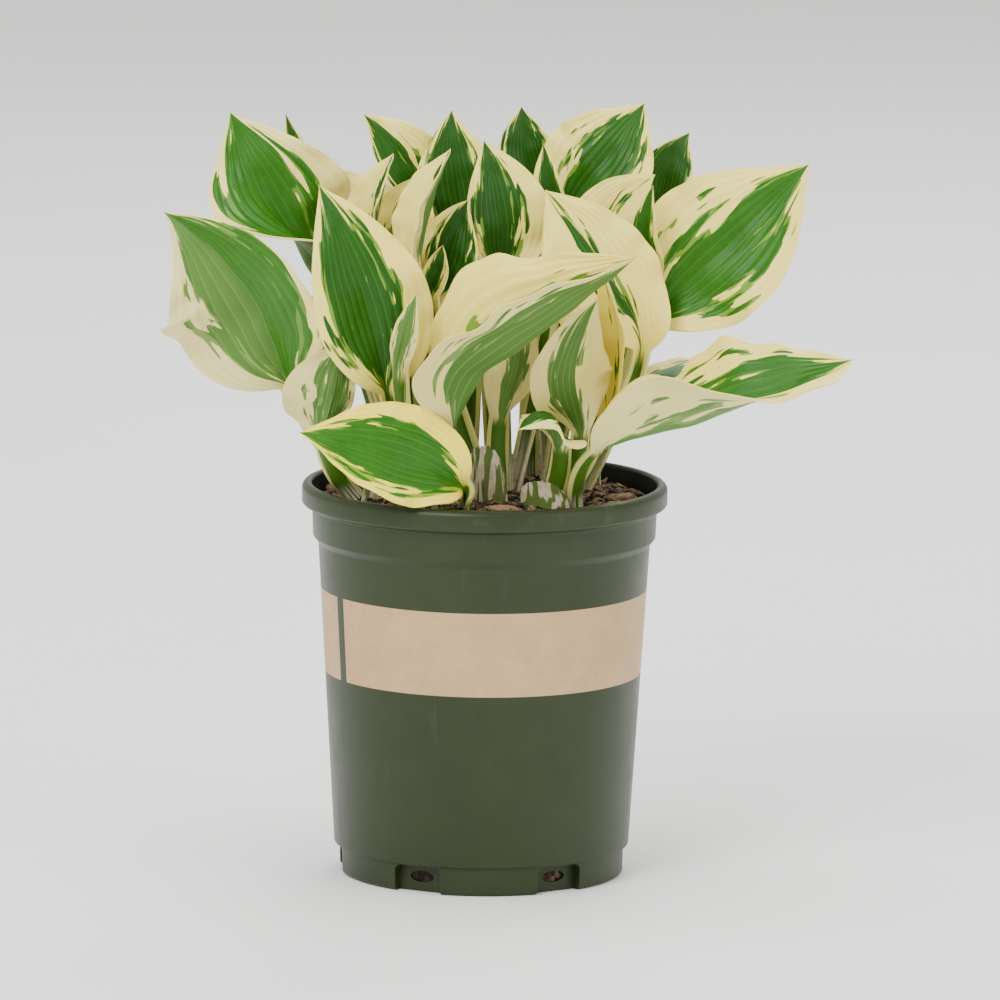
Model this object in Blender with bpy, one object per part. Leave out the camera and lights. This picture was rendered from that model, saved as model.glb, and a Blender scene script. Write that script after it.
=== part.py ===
"""A hosta in a nursery pot: seven shoots of variegated leaves rising from one crown set in potting mix.

Axes: origin in the middle of the pot's foot, +Z up, the front of the plant towards -Y, +X to its right.
Lengths below are in millimetres and are turned into metres as each body is made.
"""
import math
import random

import bpy
import numpy as np

MM = 0.001
FIT_GAP = 0.3

# Pot: blow-moulded nursery pot with a rolled lip, a stepped collar and six drain notches in its foot.
POT_SIDES = 48
POT_HEIGHT = 180.0
WALL = 1.3
FLOOR = 1.6
NOTCH_COUNT = 6
NOTCH_FIRST = -26.5
NOTCH_HALF_WIDTH = 11.4
NOTCH_TOP = 12.5
NOTCH_BACK = 59.4
NOTCH_CORNER = 3.0
DRAIN_HALF_WIDTH = 6.0
DRAIN_HALF_HEIGHT = 2.6
DRAIN_CENTRE = 6.8
POT_OUTSIDE = [
    (62.6, 0.0), (64.2, 0.7), (64.9, 2.4), (65.4, 12.9), (67.4, 13.6), (71.1, 78.0), (74.8, 133.0),
    (75.7, 152.4), (78.2, 155.5), (78.7, 167.4), (83.2, 170.6), (83.4, 172.0), (83.4, 177.4),
    (82.7, 179.3), (81.0, POT_HEIGHT), (79.4, 179.4), (78.6, 177.8),
]
POT_INSIDE = [
    (61.4, FLOOR), (63.0, 2.4), (63.6, 3.8), (64.1, 12.4), (66.1, 14.4), (69.8, 78.0), (73.5, 133.0),
    (74.4, 152.8), (76.9, 155.9), (77.4, 167.6), (77.8, 171.0), (78.6, 177.8),
]

# Soil and crown.
SOIL_EDGE = 171.2
SOIL_RISE = 1.0
SOIL_LUMP = 0.3
CROWN_TOP = 173.0
CROWN_DEPTH = 17.0
CROWN_TAPER = 0.78
RUNNER_RADIUS = 7.0
RUNNER_DEPTH = 9.0
ROOT_RADIUS = 3.2
ROOT_TIP_RADIUS = 1.4
ROOT_LENGTH = 86.0
ROOT_SPREAD = 19.0

# Shoots: centre on the crown (x, y) and the radius of the knob that carries its leaf stalks.
SHOOTS = {
    "a": (-57, -8, 16), "b": (-36, 10, 18), "c": (-18, -38, 16), "d": (3, -14, 19),
    "e": (32, -24, 20), "f": (-8, 30, 21), "g": (32, 26, 25),
}
RUNNERS = [("d", "f"), ("e", "g"), ("b", "d")]

# Leaves: thickness and section shared by all of them.
STALK_ROWS = 4
BLADE_ROWS = 8
LEAF_COLUMNS = 5
STALK_HALF_WIDTH = 3.8
STALK_FOLD = 52.0
STALK_THICKNESS = 1.9
BLADE_THICKNESS = 0.8
STALK_TIP_FADE = 1.5
EDGE_THINNING = 0.35
TIP_THINNING = 0.3
LEAST_HALF_WIDTH = 0.9
LEAF_FOOT = CROWN_TOP + FIT_GAP

# Sheaths: the short papery scales round the foot of a shoot.
SHEATH_THICKNESS = 0.9
SHEATH_COLUMNS = 9

# Bark chips lying on the soil.
CHIP_GAP = 0.2


def clear_scene():
    for old in list(bpy.data.objects):
        bpy.data.objects.remove(old)


def material(name, colour, roughness):
    made = bpy.data.materials.new(name)
    made.use_nodes = True
    shader = made.node_tree.nodes["Principled BSDF"]
    shader.inputs["Base Color"].default_value = (*colour, 1.0)
    shader.inputs["Roughness"].default_value = roughness
    return made


def body(name, points, faces, finish=None):
    mesh = bpy.data.meshes.new(name)
    corners = [tuple(float(c) * MM for c in p) for p in points]
    mesh.from_pydata(corners, [], [tuple(int(i) for i in f) for f in faces])
    mesh.validate()
    made = bpy.data.objects.new(name, mesh)
    bpy.context.collection.objects.link(made)
    if finish:
        mesh.materials.append(finish)
    return made


def combine(target, tool, operation):
    step = target.modifiers.new(operation, "BOOLEAN")
    step.operation = operation
    step.solver = "EXACT"
    step.object = tool
    graph = bpy.context.evaluated_depsgraph_get()
    result = bpy.data.meshes.new_from_object(target.evaluated_get(graph))
    target.modifiers.clear()
    target.data = result
    bpy.data.objects.remove(tool)


def turned(name, profile, sides, finish=None):
    """Solid of revolution from (radius, height) pairs, bottom first, closed on the axis at both ends."""
    points = [(0.0, 0.0, profile[0][1])]
    for radius, height in profile:
        for k in range(sides):
            turn = 2 * math.pi * k / sides
            points.append((radius * math.cos(turn), radius * math.sin(turn), height))
    points.append((0.0, 0.0, profile[-1][1]))
    top = len(points) - 1
    faces = []
    for k in range(sides):
        n = (k + 1) % sides
        faces.append((0, 1 + n, 1 + k))
        last = 1 + (len(profile) - 1) * sides
        faces.append((top, last + k, last + n))
    for ring in range(len(profile) - 1):
        low, high = 1 + ring * sides, 1 + (ring + 1) * sides
        for k in range(sides):
            n = (k + 1) % sides
            faces.append((low + k, low + n, high + n, high + k))
    return body(name, points, faces, finish)


def prism(name, outline, near, far, degrees):
    """Outline of (sideways, height) pairs pushed out from radius near to far, at a bearing from the front."""
    turn = math.radians(degrees)
    outward = (math.sin(turn), -math.cos(turn))
    sideways = (math.cos(turn), math.sin(turn))
    points = []
    for radius in (near, far):
        for side, height in outline:
            x = outward[0] * radius + sideways[0] * side
            y = outward[1] * radius + sideways[1] * side
            points.append((x, y, height))
    n = len(outline)
    faces = [tuple(range(n)), tuple(reversed(range(n, 2 * n)))]
    faces += [(k, n + k, n + (k + 1) % n, (k + 1) % n) for k in range(n)]
    return body(name, points, faces)


def arch(grow):
    """Outline of a drain notch, square at the foot and rounded at the top."""
    half, top, corner = NOTCH_HALF_WIDTH + grow, NOTCH_TOP + grow, NOTCH_CORNER
    outline = [(-half, -2.0), (half, -2.0)]
    for centre, start in ((half - corner, 0), (corner - half, 90)):
        for step in (0, 45, 90):
            turn = math.radians(start + step)
            outline.append((centre + corner * math.cos(turn), top - corner + corner * math.sin(turn)))
    return outline[::-1]


def cut_notches(target, grow):
    for k in range(NOTCH_COUNT):
        bearing = NOTCH_FIRST + k * 360 / NOTCH_COUNT
        combine(target, prism("notch", arch(grow), NOTCH_BACK - grow, 90.0, bearing), "DIFFERENCE")


def make_pot(finish):
    shell = turned("pot", POT_OUTSIDE, POT_SIDES, finish)
    cut_notches(shell, 0.0)
    hollow = turned("hollow", POT_INSIDE[:-1] + [(78.6, 177.8), (78.6, 190.0)], POT_SIDES)
    cut_notches(hollow, WALL)
    combine(shell, hollow, "DIFFERENCE")
    oval = []
    for k in range(12):
        turn = -2 * math.pi * k / 12
        oval.append((DRAIN_HALF_WIDTH * math.cos(turn), DRAIN_CENTRE + DRAIN_HALF_HEIGHT * math.sin(turn)))
    for k in range(NOTCH_COUNT):
        bearing = NOTCH_FIRST + k * 360 / NOTCH_COUNT
        combine(shell, prism("drain", oval, NOTCH_BACK - 5, NOTCH_BACK + 3, bearing), "DIFFERENCE")
    return shell


def tube(name, stations, sides):
    """Closed round rod through (x, y, z, radius) stations."""
    path = np.array([s[:3] for s in stations], float)
    aim = path[-1] - path[0]
    aim = aim / np.linalg.norm(aim)
    across = np.cross(aim, (0.31, 0.87, 0.38))
    across = across / np.linalg.norm(across)
    over = np.cross(aim, across)
    points = []
    for centre, station in zip(path, stations):
        for k in range(sides):
            turn = 2 * math.pi * k / sides
            points.append(centre + station[3] * (across * math.cos(turn) + over * math.sin(turn)))
    faces = [tuple(reversed(range(sides))), tuple(range(len(points) - sides, len(points)))]
    for ring in range(len(stations) - 1):
        for k in range(sides):
            n = (k + 1) % sides
            low, high = ring * sides, (ring + 1) * sides
            faces.append((low + k, low + n, high + n, high + k))
    return body(name, points, faces)


def make_crown(name, grow, finish=None):
    """Rhizome with a knob under every shoot, runners between them and fleshy roots below."""
    pieces = []
    for order, (x, y, radius) in enumerate(SHOOTS.values()):
        low = CROWN_TOP - CROWN_DEPTH - 0.9 * order - grow
        knob = [(x, y, low, radius * CROWN_TAPER + grow), (x, y, CROWN_TOP - 5, radius + grow),
                (x, y, CROWN_TOP + grow, radius + grow)]
        pieces.append(tube("knob", knob, 14))
    for order, (one, other) in enumerate(RUNNERS):
        height = CROWN_TOP - RUNNER_DEPTH - 0.7 * order
        ends = [(SHOOTS[s][0], SHOOTS[s][1], height, RUNNER_RADIUS + grow) for s in (one, other)]
        pieces.append(tube("runner", ends, 8))
    for order, (x, y, radius) in enumerate(SHOOTS.values()):
        bearing = math.atan2(y, x) if order % 2 else math.atan2(y, x) + 0.7
        reach = min(ROOT_SPREAD, 58.0 - math.hypot(x, y))
        way = (math.cos(bearing), math.sin(bearing))
        mid = (x + 0.6 * reach * way[0], y + 0.6 * reach * way[1], CROWN_TOP - 0.55 * ROOT_LENGTH)
        end = (x + reach * way[0], y + reach * way[1], CROWN_TOP - ROOT_LENGTH - 4 * order)
        start = (x, y, CROWN_TOP - CROWN_DEPTH + 4)
        past = unit(np.array(end) - np.array(mid)) * grow
        rod = [(*start, ROOT_RADIUS + grow), (*mid, ROOT_RADIUS * 0.8 + grow),
               (*(end + past), ROOT_TIP_RADIUS + grow)]
        pieces.append(tube("root", rod, 6))
    whole = pieces[0]
    for piece in pieces[1:]:
        combine(whole, piece, "UNION")
    whole.name = name
    if finish:
        whole.data.materials.clear()
        whole.data.materials.append(finish)
    return whole


def soil_height(x, y):
    """Top of the soil: low at the wall, gently mounded and lumpy further in."""
    r = math.hypot(x, y) / 77.0
    lumps = math.sin(0.21 * x + 1.3) * math.cos(0.19 * y - 0.4) + 0.6 * math.sin(0.43 * x - 0.37 * y)
    return SOIL_EDGE + SOIL_RISE * (1 - r * r) + SOIL_LUMP * lumps * (1 - r ** 4)


def make_soil(finish):
    side = [(r - FIT_GAP, h + (FIT_GAP if h < 4 else 0.0)) for r, h in POT_INSIDE if h < SOIL_EDGE - 2]
    side.append((77.4 - FIT_GAP, SOIL_EDGE))
    rows = [0.84, 0.6, 0.3]
    points = [(0.0, 0.0, side[0][1])]
    rings = side + [(side[-1][0] * part, None) for part in rows]
    for radius, height in rings:
        for k in range(POT_SIDES):
            turn = 2 * math.pi * k / POT_SIDES
            x, y = radius * math.cos(turn), radius * math.sin(turn)
            points.append((x, y, soil_height(x, y) if height is None else height))
    points.append((0.0, 0.0, soil_height(0, 0)))
    top = len(points) - 1
    last = 1 + (len(rings) - 1) * POT_SIDES
    faces = []
    for k in range(POT_SIDES):
        n = (k + 1) % POT_SIDES
        faces.append((0, 1 + n, 1 + k))
        faces.append((top, last + k, last + n))
        for ring in range(len(rings) - 1):
            low, high = 1 + ring * POT_SIDES, 1 + (ring + 1) * POT_SIDES
            faces.append((low + k, low + n, high + n, high + k))
    made = body("soil", points, faces, finish)
    cut_notches(made, WALL + FIT_GAP)
    combine(made, make_crown("crown_space", FIT_GAP), "DIFFERENCE")
    return made


def unit(v):
    v = np.asarray(v, float)
    return v / np.maximum(np.linalg.norm(v, axis=-1, keepdims=True), 1e-9)


def ease(t, start=0.0, end=1.0):
    x = np.clip((t - start) / (end - start), 0, 1)
    return x * x * (3 - 2 * x)


def curve(knots, counts):
    """Smooth curve through the knots; counts gives the steps in each span. Returns points and tangents."""
    knots = np.asarray(knots, float)
    step = np.sqrt(np.linalg.norm(np.diff(knots, axis=0), axis=1))
    rate = np.diff(knots, axis=0) / step[:, None]
    slope = np.zeros_like(knots)
    for i in range(1, len(knots) - 1):
        slope[i] = (step[i] * rate[i - 1] + step[i - 1] * rate[i]) / (step[i - 1] + step[i])
    slope[0] = 2 * rate[0] - slope[1]
    slope[-1] = 2 * rate[-1] - slope[-2]
    places, tangents = [], []
    for span, t in counts:
        t, h = np.asarray(t)[:, None], step[span]
        start, end = knots[span], knots[span + 1]
        places.append((2 * t**3 - 3 * t**2 + 1) * start + (3 * t**2 - 2 * t**3) * end
                      + h * ((t**3 - 2 * t**2 + t) * slope[span] + (t**3 - t**2) * slope[span + 1]))
        tangents.append((6 * t**2 - 6 * t) * (start - end) / h
                        + (3 * t**2 - 4 * t + 1) * slope[span] + (3 * t**2 - 2 * t) * slope[span + 1])
    return np.concatenate(places), np.concatenate(tangents)


def ovate(u, near, far):
    """Half width of an egg-shaped blade, 1 at its widest."""
    peak = near / (near + far)
    return np.clip(u, 1e-9, 1)**near * np.clip(1 - u, 0, 1)**far / (peak**near * (1 - peak)**far)


def spans(low, high, count, skip_first):
    """Even steps from knot low to knot high, as (span, position in span) pairs."""
    steps = np.linspace(0, high - low, count)[1 if skip_first else 0:]
    return [(low + min(int(t), high - low - 1), np.array([t - min(int(t), high - low - 1)])) for t in steps]


def leaf(name, shoot, foot, collar, middle, tip, facing, width, fold=(18, 18), curl=(-12, -12),
         fold_tip=None, facing_tip=None, opens=None, half=(1, 1), near=0.88, far=1.12,
         finish=None):
    """One leaf grown as a single piece: a channelled stalk from foot to collar and a folded blade to its tip.

    facing is the side the blade's upper face looks to; fold lifts the left and right halves in degrees,
    curl bends them further out towards the margin, and half widens or narrows them. opens is the way that
    the stalk's channel looks at its foot, towards the middle of the shoot if it isn't given.
    """
    knots = [(*foot, CROWN_TOP), collar, *middle, tip]
    steps = spans(0, 1, STALK_ROWS, False) + spans(1, len(knots) - 1, BLADE_ROWS, True)
    line, tangent = curve(knots, steps)
    run = np.concatenate([[0], np.cumsum(np.linalg.norm(np.diff(line, axis=0), axis=1))])
    base = STALK_ROWS - 1
    beyond = (run - run[base]) / (run[-1] - run[base])
    u = np.where(np.arange(len(line)) < base, run / run[base] - 1, beyond)
    tangent = unit(tangent)
    inward = unit((*(opens or (SHOOTS[shoot][0] - foot[0], SHOOTS[shoot][1] - foot[1])), 0.0))
    turn, late = ease(u, -0.9, 0.15)[:, None], ease(u, 0.25, 1.0)[:, None]
    face = unit(facing) * turn * (1 - late) + unit(facing_tip or facing) * turn * late + inward * (1 - turn)
    face = unit(face)
    up = unit(face - (face * tangent).sum(-1, keepdims=True) * tangent)
    across = np.cross(tangent, up)
    stalk = np.where(u < 0, 1.0, np.clip(1 - u, 0, 1)**STALK_TIP_FADE) * STALK_HALF_WIDTH
    blade = width / 2 * ovate(np.clip(u, 0, 1), near, far)
    spread = np.maximum(np.sqrt(stalk**2 + blade**2), LEAST_HALF_WIDTH)
    opened, towards_tip, widened = ease(u, -0.05, 0.30), ease(u, 0.2, 0.85), ease(u, 0, 0.2)
    channel = math.radians(STALK_FOLD) * (1 - 0.35 * ease(u, -1, -0.6) * (1 - ease(u, -0.6, 0)))
    columns = np.linspace(-1, 1, LEAF_COLUMNS)
    sheet = np.zeros((len(line), LEAF_COLUMNS, 3))
    for j, column in enumerate(columns):
        side = 0 if column < 0 else 1
        end_fold = (fold_tip or fold)[side]
        lift = np.radians(fold[side] * (1 - towards_tip) + end_fold * towards_tip)
        lift = channel * (1 - opened) + lift * opened
        bend = math.radians(curl[side]) * opened
        bend = np.where(np.abs(bend) < 1e-4, 1e-4, bend)
        reach = spread * (1 + (half[side] - 1) * widened)
        out = reach * (np.sin(lift + bend * abs(column)) - np.sin(lift)) / bend
        rise = reach * (np.cos(lift) - np.cos(lift + bend * abs(column))) / bend
        sheet[:, j] = line + across * (np.sign(column) * out)[:, None] + up * rise[:, None]
    return thicken(name, sheet, u, columns, finish)


def thicken(name, sheet, u, columns, finish):
    """Give a leaf its thickness: stout along the stalk and midrib, thin at the margins and the tip."""
    normal = unit(np.cross(np.gradient(sheet, axis=1), np.gradient(sheet, axis=0)))
    thickness = np.where(u < 0, STALK_THICKNESS,
                         BLADE_THICKNESS + (STALK_THICKNESS - BLADE_THICKNESS) * (1 - ease(u, 0, 0.25)))
    thickness = thickness * (1 - TIP_THINNING * ease(u, 0.8, 1.0))
    thickness = thickness[:, None] * (1 - EDGE_THINNING * np.abs(columns))[None, :]
    above = sheet + normal * thickness[..., None] / 2
    below = sheet - normal * thickness[..., None] / 2
    above[0, :, 2] = LEAF_FOOT
    below[0, :, 2] = LEAF_FOOT
    points = np.concatenate([above.reshape(-1, 3), below.reshape(-1, 3)])
    return body(name, points, sheet_faces(len(u), len(columns)), finish)


def sheet_faces(rows, columns):
    """Faces of a closed slab whose upper grid of points is followed by its lower grid."""
    under = rows * columns
    faces = []

    def both(a, b, c, d):
        faces.append((a, b, c))
        faces.append((a, c, d))

    for i in range(rows - 1):
        for j in range(columns - 1):
            a, d = i * columns + j, (i + 1) * columns + j
            b, c = a + 1, d + 1
            both(a, b, c, d)
            both(under + c, under + b, under + a, under + d)
        a, d = i * columns, (i + 1) * columns
        both(under + a, a, d, under + d)
        b, c = a + columns - 1, d + columns - 1
        both(b, under + b, under + c, c)
    for j in range(columns - 1):
        both(under + j, under + j + 1, j + 1, j)
        a = (rows - 1) * columns + j
        both(a, a + 1, under + a + 1, under + a)
    return faces


def sheath(name, shoot, bearing, half_angle, radius, height, lean, finish):
    """Scale leaf wrapped part way round a shoot, highest in the middle and leaning outwards."""
    x, y, _ = SHOOTS[shoot]
    rows = [0.0, 0.5, 1.0]
    points = []
    for skin in (SHEATH_THICKNESS, 0.0):
        for row in rows:
            for j in range(SHEATH_COLUMNS):
                place = j / (SHEATH_COLUMNS - 1) * 2 - 1
                turn = math.radians(bearing + half_angle * place * (1 - 0.25 * row))
                rise = row * height * (1 - 0.6 * abs(place)**1.5)
                reach = radius + skin + lean * rise
                points.append((x + reach * math.sin(turn), y - reach * math.cos(turn), LEAF_FOOT + rise))
    return body(name, points, sheet_faces(len(rows), SHEATH_COLUMNS), finish)


def chip(name, x, y, length, width, thickness, bearing, finish, shape):
    """Splinter of bark lying flat on the soil."""
    turn = math.radians(bearing)
    sides = 7
    outline = []
    for k in range(sides):
        angle = 2 * math.pi * k / sides
        wobble = 0.8 + 0.35 * shape.random()
        along, over = length / 2 * wobble * math.cos(angle), width / 2 * wobble * math.sin(angle)
        outline.append((x + along * math.cos(turn) - over * math.sin(turn),
                        y + along * math.sin(turn) + over * math.cos(turn)))
    seat = max(soil_height(px, py) for px, py in outline + [(x, y)]) + CHIP_GAP
    points = [(px, py, seat) for px, py in outline]
    for px, py in outline:
        rise = thickness * (0.75 + 0.4 * shape.random())
        points.append((x + 0.82 * (px - x), y + 0.82 * (py - y), seat + rise))
    faces = [tuple(reversed(range(sides)))]
    faces += [(k, (k + 1) % sides, sides + (k + 1) % sides, sides + k) for k in range(sides)]
    points.append((x, y, seat + thickness * 1.15))
    faces += [(sides + k, sides + (k + 1) % sides, 2 * sides) for k in range(sides)]
    return body(name, points, faces, finish)


clear_scene()
pot_green = material("pot_plastic", (0.055, 0.075, 0.045), 0.45)
soil_brown = material("potting_mix", (0.035, 0.022, 0.014), 0.95)
crown_brown = material("crown_skin", (0.16, 0.10, 0.06), 0.85)
leaf_green = material("leaf_blade", (0.10, 0.28, 0.05), 0.45)
sheath_pale = material("sheath_skin", (0.62, 0.56, 0.42), 0.6)
bark = material("bark_chip", (0.20, 0.11, 0.06), 0.9)

make_pot(pot_green)
make_soil(soil_brown)
make_crown("crown", 0.0, crown_brown)

# Shoot a, at the left.
leaf("leaf_a1", "a", (-63, -5), (-89, -10, 226), [(-111, -32, 276)], (-146, -26, 306), (-0.4, -0.85, 0.3), 90,
     fold=(5, 28), fold_tip=(5, 45), curl=(-8, -20), half=(1.08, 0.76), near=0.8, far=1.3, finish=leaf_green)
leaf("leaf_a2", "a", (-59, -16), (-73, -31, 203), [(-69, -42, 226)], (-65, -39, 249), (-0.1, 0.95, 0.2), 38,
     fold=(30, 4), curl=(-10, -6), half=(0.6, 1.2), near=0.9, far=0.95, finish=leaf_green)
leaf("leaf_a3", "a", (-50, 3), (-73, 3, 205), [(-79, 9, 239)], (-77, 11, 266), (-0.6, -0.6, 0.3), 26,
     fold=(45, 45), finish=leaf_green)

# Shoot b, left of the middle.
leaf("leaf_b1", "b", (-44, 8), (-67, -2, 255), [(-93, -6, 301)], (-117, 2, 348), (0, -0.35, 0.92), 72,
     facing_tip=(-0.25, -0.85, 0.45), fold=(78, 20), fold_tip=(0, 10), curl=(-5, -15), half=(1, 1.05),
     finish=leaf_green)
leaf("leaf_b2", "b", (-38, 2), (-45, -34, 228), [(-57, -49, 278)], (-76, -39, 321), (0.1, -0.95, 0.2), 55,
     fold=(20, 20), curl=(-25, -35), half=(0.9, 1.07), near=0.75, far=1.15, finish=leaf_green)
leaf("leaf_b3", "b", (-28, 11), (-52, -8, 282), [(-50, -8, 308)], (-43, -4, 331), (-0.5, -0.6, 0.3), 30,
     fold=(30, 60), finish=leaf_green)
leaf("leaf_b4", "b", (-34, 18), (-45, 22, 271), [(-62, 28, 299)], (-81, 30, 317), (-0.1, -0.85, 0.5), 44,
     fold=(20, 20), finish=leaf_green)
leaf("leaf_b5", "b", (-48, 16), (-51, 27, 215), [(-81, 43, 240)], (-108, 57, 244), (0.4, -0.21, 0.85), 56,
     fold=(16, 16), curl=(-14, -14), finish=leaf_green)

# Shoot c, in front.
leaf("leaf_c1", "c", (-19, -41), (-14, -52, 215), [(-2, -64, 239), (31, -78, 266)], (67, -86, 297),
     (-0.62, -0.05, 0.75), 87, fold=(72, 50), curl=(-12, -20), near=0.75, finish=leaf_green)
leaf("leaf_c2", "c", (-8, -48), (-11, -62, 188), [(-45, -79, 205)], (-83, -83, 215), (-0.03, -0.87, 0.48), 60,
     opens=(-0.9, -0.2), fold=(6, 16), curl=(-16, -30), half=(0.95, 0.9), near=0.75, finish=leaf_green)
leaf("leaf_c3", "c", (-28, -34), (-40, -52, 238), [(-37, -60, 256)], (-31, -62, 276), (0.5, 0.8, 0.2), 13,
     fold=(25, 25), finish=leaf_green)

# Shoot d, in the middle.
leaf("leaf_d1", "d", (12, -12), (7, 2, 273), [(6, -2, 303)], (-2, 4, 336), (0.1, -0.95, 0.25), 38,
     fold=(22, 14), half=(0.9, 1.2), finish=leaf_green)
leaf("leaf_d2", "d", (-5, -22), (-31, -31, 279), [(-27, -33, 307)], (-17, -31, 337), (-0.6, -0.5, 0.35), 36,
     opens=(-0.6, -0.5), fold=(24, 60), finish=leaf_green)
leaf("leaf_d3", "d", (-4, -10), (-25, -12, 263), [(-20, -14, 288)], (-9, -12, 311), (0.3, -0.85, 0.35), 36,
     fold=(38, 38), finish=leaf_green)
leaf("leaf_d4", "d", (2, -16), (-26, -22, 267), [(-23, -23, 281)], (-20, -23, 292), (0.1, -0.9, 0.2), 14,
     opens=(0.1, -0.9), fold=(45, 45), finish=leaf_green)
leaf("leaf_d5", "d", (8, -24), (7, -20, 212), [(14, -16, 236)], (15, -10, 265), (-0.3, 0.8, 0.3), 28,
     fold=(30, 30), finish=leaf_green)
leaf("leaf_d6", "d", (14, -2), (31, 3, 284), [(28, 1, 310)], (25, 3, 335), (-0.3, -0.9, 0.3), 18,
     fold=(30, 30), finish=leaf_green)

# Shoot e, right of the middle.
leaf("leaf_e1", "e", (43, -36), (51, -52, 203), [(92, -62, 218), (137, -62, 235)], (165, -52, 246),
     (-0.15, -0.25, 0.93), 98, facing_tip=(-0.2, -0.62, 0.76), fold=(17, 62), fold_tip=(14, 34),
     curl=(-10, -10),
     half=(0.96, 1), near=0.85, finish=leaf_green)
leaf("leaf_e2", "e", (24, -12), (70, -4, 242), [(51, -15, 284)], (26, -12, 316), (0.12, -0.9, 0.4), 72,
     fold=(10, 10), curl=(-10, -22), half=(0.9, 0.9), finish=leaf_green)
leaf("leaf_e3", "e", (40, -22), (56, -15, 212), [(60, -33, 249)], (50, -39, 287), (-0.75, -0.5, 0.2), 32,
     fold=(38, 30), near=0.75, finish=leaf_green)
leaf("leaf_e4", "e", (35, -30), (44, -34, 208), [(40, -50, 239)], (50, -50, 272), (-0.25, 0.9, 0.2), 40,
     fold=(25, 20), near=0.7, finish=leaf_green)
leaf("leaf_e5", "e", (28, -36), (34, -52, 204), [(28, -64, 222)], (15, -76, 216), (0, -0.3, 0.95), 34,
     fold=(-20, -20), curl=(-14, -14), near=0.6, finish=leaf_green)

# Shoot f, behind the middle.
leaf("leaf_f1", "f", (-9, 36), (-9, 19, 284), [(-15, 20, 323)], (-17, 24, 347), (0.1, -0.95, 0.2), 40,
     fold=(15, 22), finish=leaf_green)
leaf("leaf_f2", "f", (-20, 33), (-26, 30, 295), [(-41, 28, 324)], (-57, 32, 344), (0.1, -0.95, 0.3), 34,
     fold=(28, 20), half=(0.7, 1.15), finish=leaf_green)
leaf("leaf_f3", "f", (-14, 26), (-39, 6, 266), [(-39, 6, 294)], (-27, 8, 320), (-0.1, -0.95, 0.25), 36,
     fold=(22, 22), finish=leaf_green)
leaf("leaf_f4", "f", (2, 32), (22, 38, 304), [(17, 38, 327)], (15, 40, 347), (0, -0.95, 0.2), 28,
     fold=(20, 16), finish=leaf_green)
leaf("leaf_f5", "f", (-20, 40), (-65, 38, 275), [(-81, 44, 307)], (-93, 46, 342), (0.1, -0.9, 0.3), 16,
     fold=(30, 30), finish=leaf_green)
leaf("leaf_f6", "f", (-14, 44), (-32, 41, 250), [(-53, 68, 292)], (-69, 88, 306), (0.28, -0.35, 0.85), 52,
     fold=(16, 16), curl=(-14, -14), finish=leaf_green)
leaf("leaf_f7", "f", (-4, 42), (-18, 55, 205), [(-28, 87, 232)], (-40, 124, 224), (0.14, -0.43, 0.85), 64,
     fold=(16, 16), curl=(-14, -14), finish=leaf_green)
leaf("leaf_f8", "f", (6, 40), (3, 50, 240), [(6, 80, 285)], (8, 108, 304), (-0.03, -0.45, 0.85), 62,
     fold=(16, 16), curl=(-14, -14), finish=leaf_green)

# Shoot g, at the right and behind.
leaf("leaf_g1", "g", (42, 15), (75, 13, 251), [(113, 9, 292)], (146, 18, 325), (0.1, -0.9, 0.45), 74,
     fold=(14, 14), curl=(-15, -20), half=(1, 0.85), near=0.8, finish=leaf_green)
leaf("leaf_g2", "g", (28, 34), (35, 30, 296), [(55, 29, 327)], (71, 34, 350), (-0.1, -0.9, 0.35), 54,
     fold=(14, 20), finish=leaf_green)
leaf("leaf_g3", "g", (41, 44), (77, 50, 287), [(82, 50, 315)], (92, 54, 334), (0, -0.95, 0.3), 28,
     fold=(22, 22), finish=leaf_green)
leaf("leaf_g4", "g", (28, 20), (47, 12, 271), [(54, 12, 298)], (76, 14, 320), (0, -0.9, 0.3), 33,
     opens=(0.3, -0.9), fold=(20, 8), finish=leaf_green)
leaf("leaf_g5", "g", (45, 8), (75, 6, 268), [(71, 3, 294)], (75, 1, 317), (-0.2, -0.9, 0.3), 16,
     opens=(-0.5, -0.8), fold=(35, 35), finish=leaf_green)
leaf("leaf_g6", "g", (20, 44), (22, 56, 218), [(36, 88, 248)], (50, 124, 242), (-0.17, -0.42, 0.85), 64,
     fold=(16, 16), curl=(-14, -14), finish=leaf_green)
leaf("leaf_g7", "g", (30, 44), (34, 47, 240), [(53, 73, 284)], (71, 97, 296), (-0.26, -0.36, 0.85), 50,
     fold=(16, 16), curl=(-14, -14), finish=leaf_green)
leaf("leaf_g8", "g", (52, 28), (60, 26, 206), [(94, 39, 225)], (128, 52, 216), (-0.42, -0.17, 0.85), 42,
     fold=(16, 16), curl=(-14, -14), finish=leaf_green)

# Sheaths: shoot, bearing of the middle from the front, half angle, radius, height and outward lean.
sheath("sheath_a", "a", 40, 38, 13, 20, 0.05, sheath_pale)
sheath("sheath_c", "c", -42, 36, 14, 14, 0.1, sheath_pale)
sheath("sheath_d", "d", -10, 38, 17, 30, 0.05, sheath_pale)
sheath("sheath_e", "e", -18, 42, 18, 16, 0.2, sheath_pale)
sheath("sheath_f", "f", 190, 30, 18.5, 15, 0.1, sheath_pale)
sheath("sheath_g", "g", 178, 21, 23.5, 15, 0.05, sheath_pale)

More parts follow.
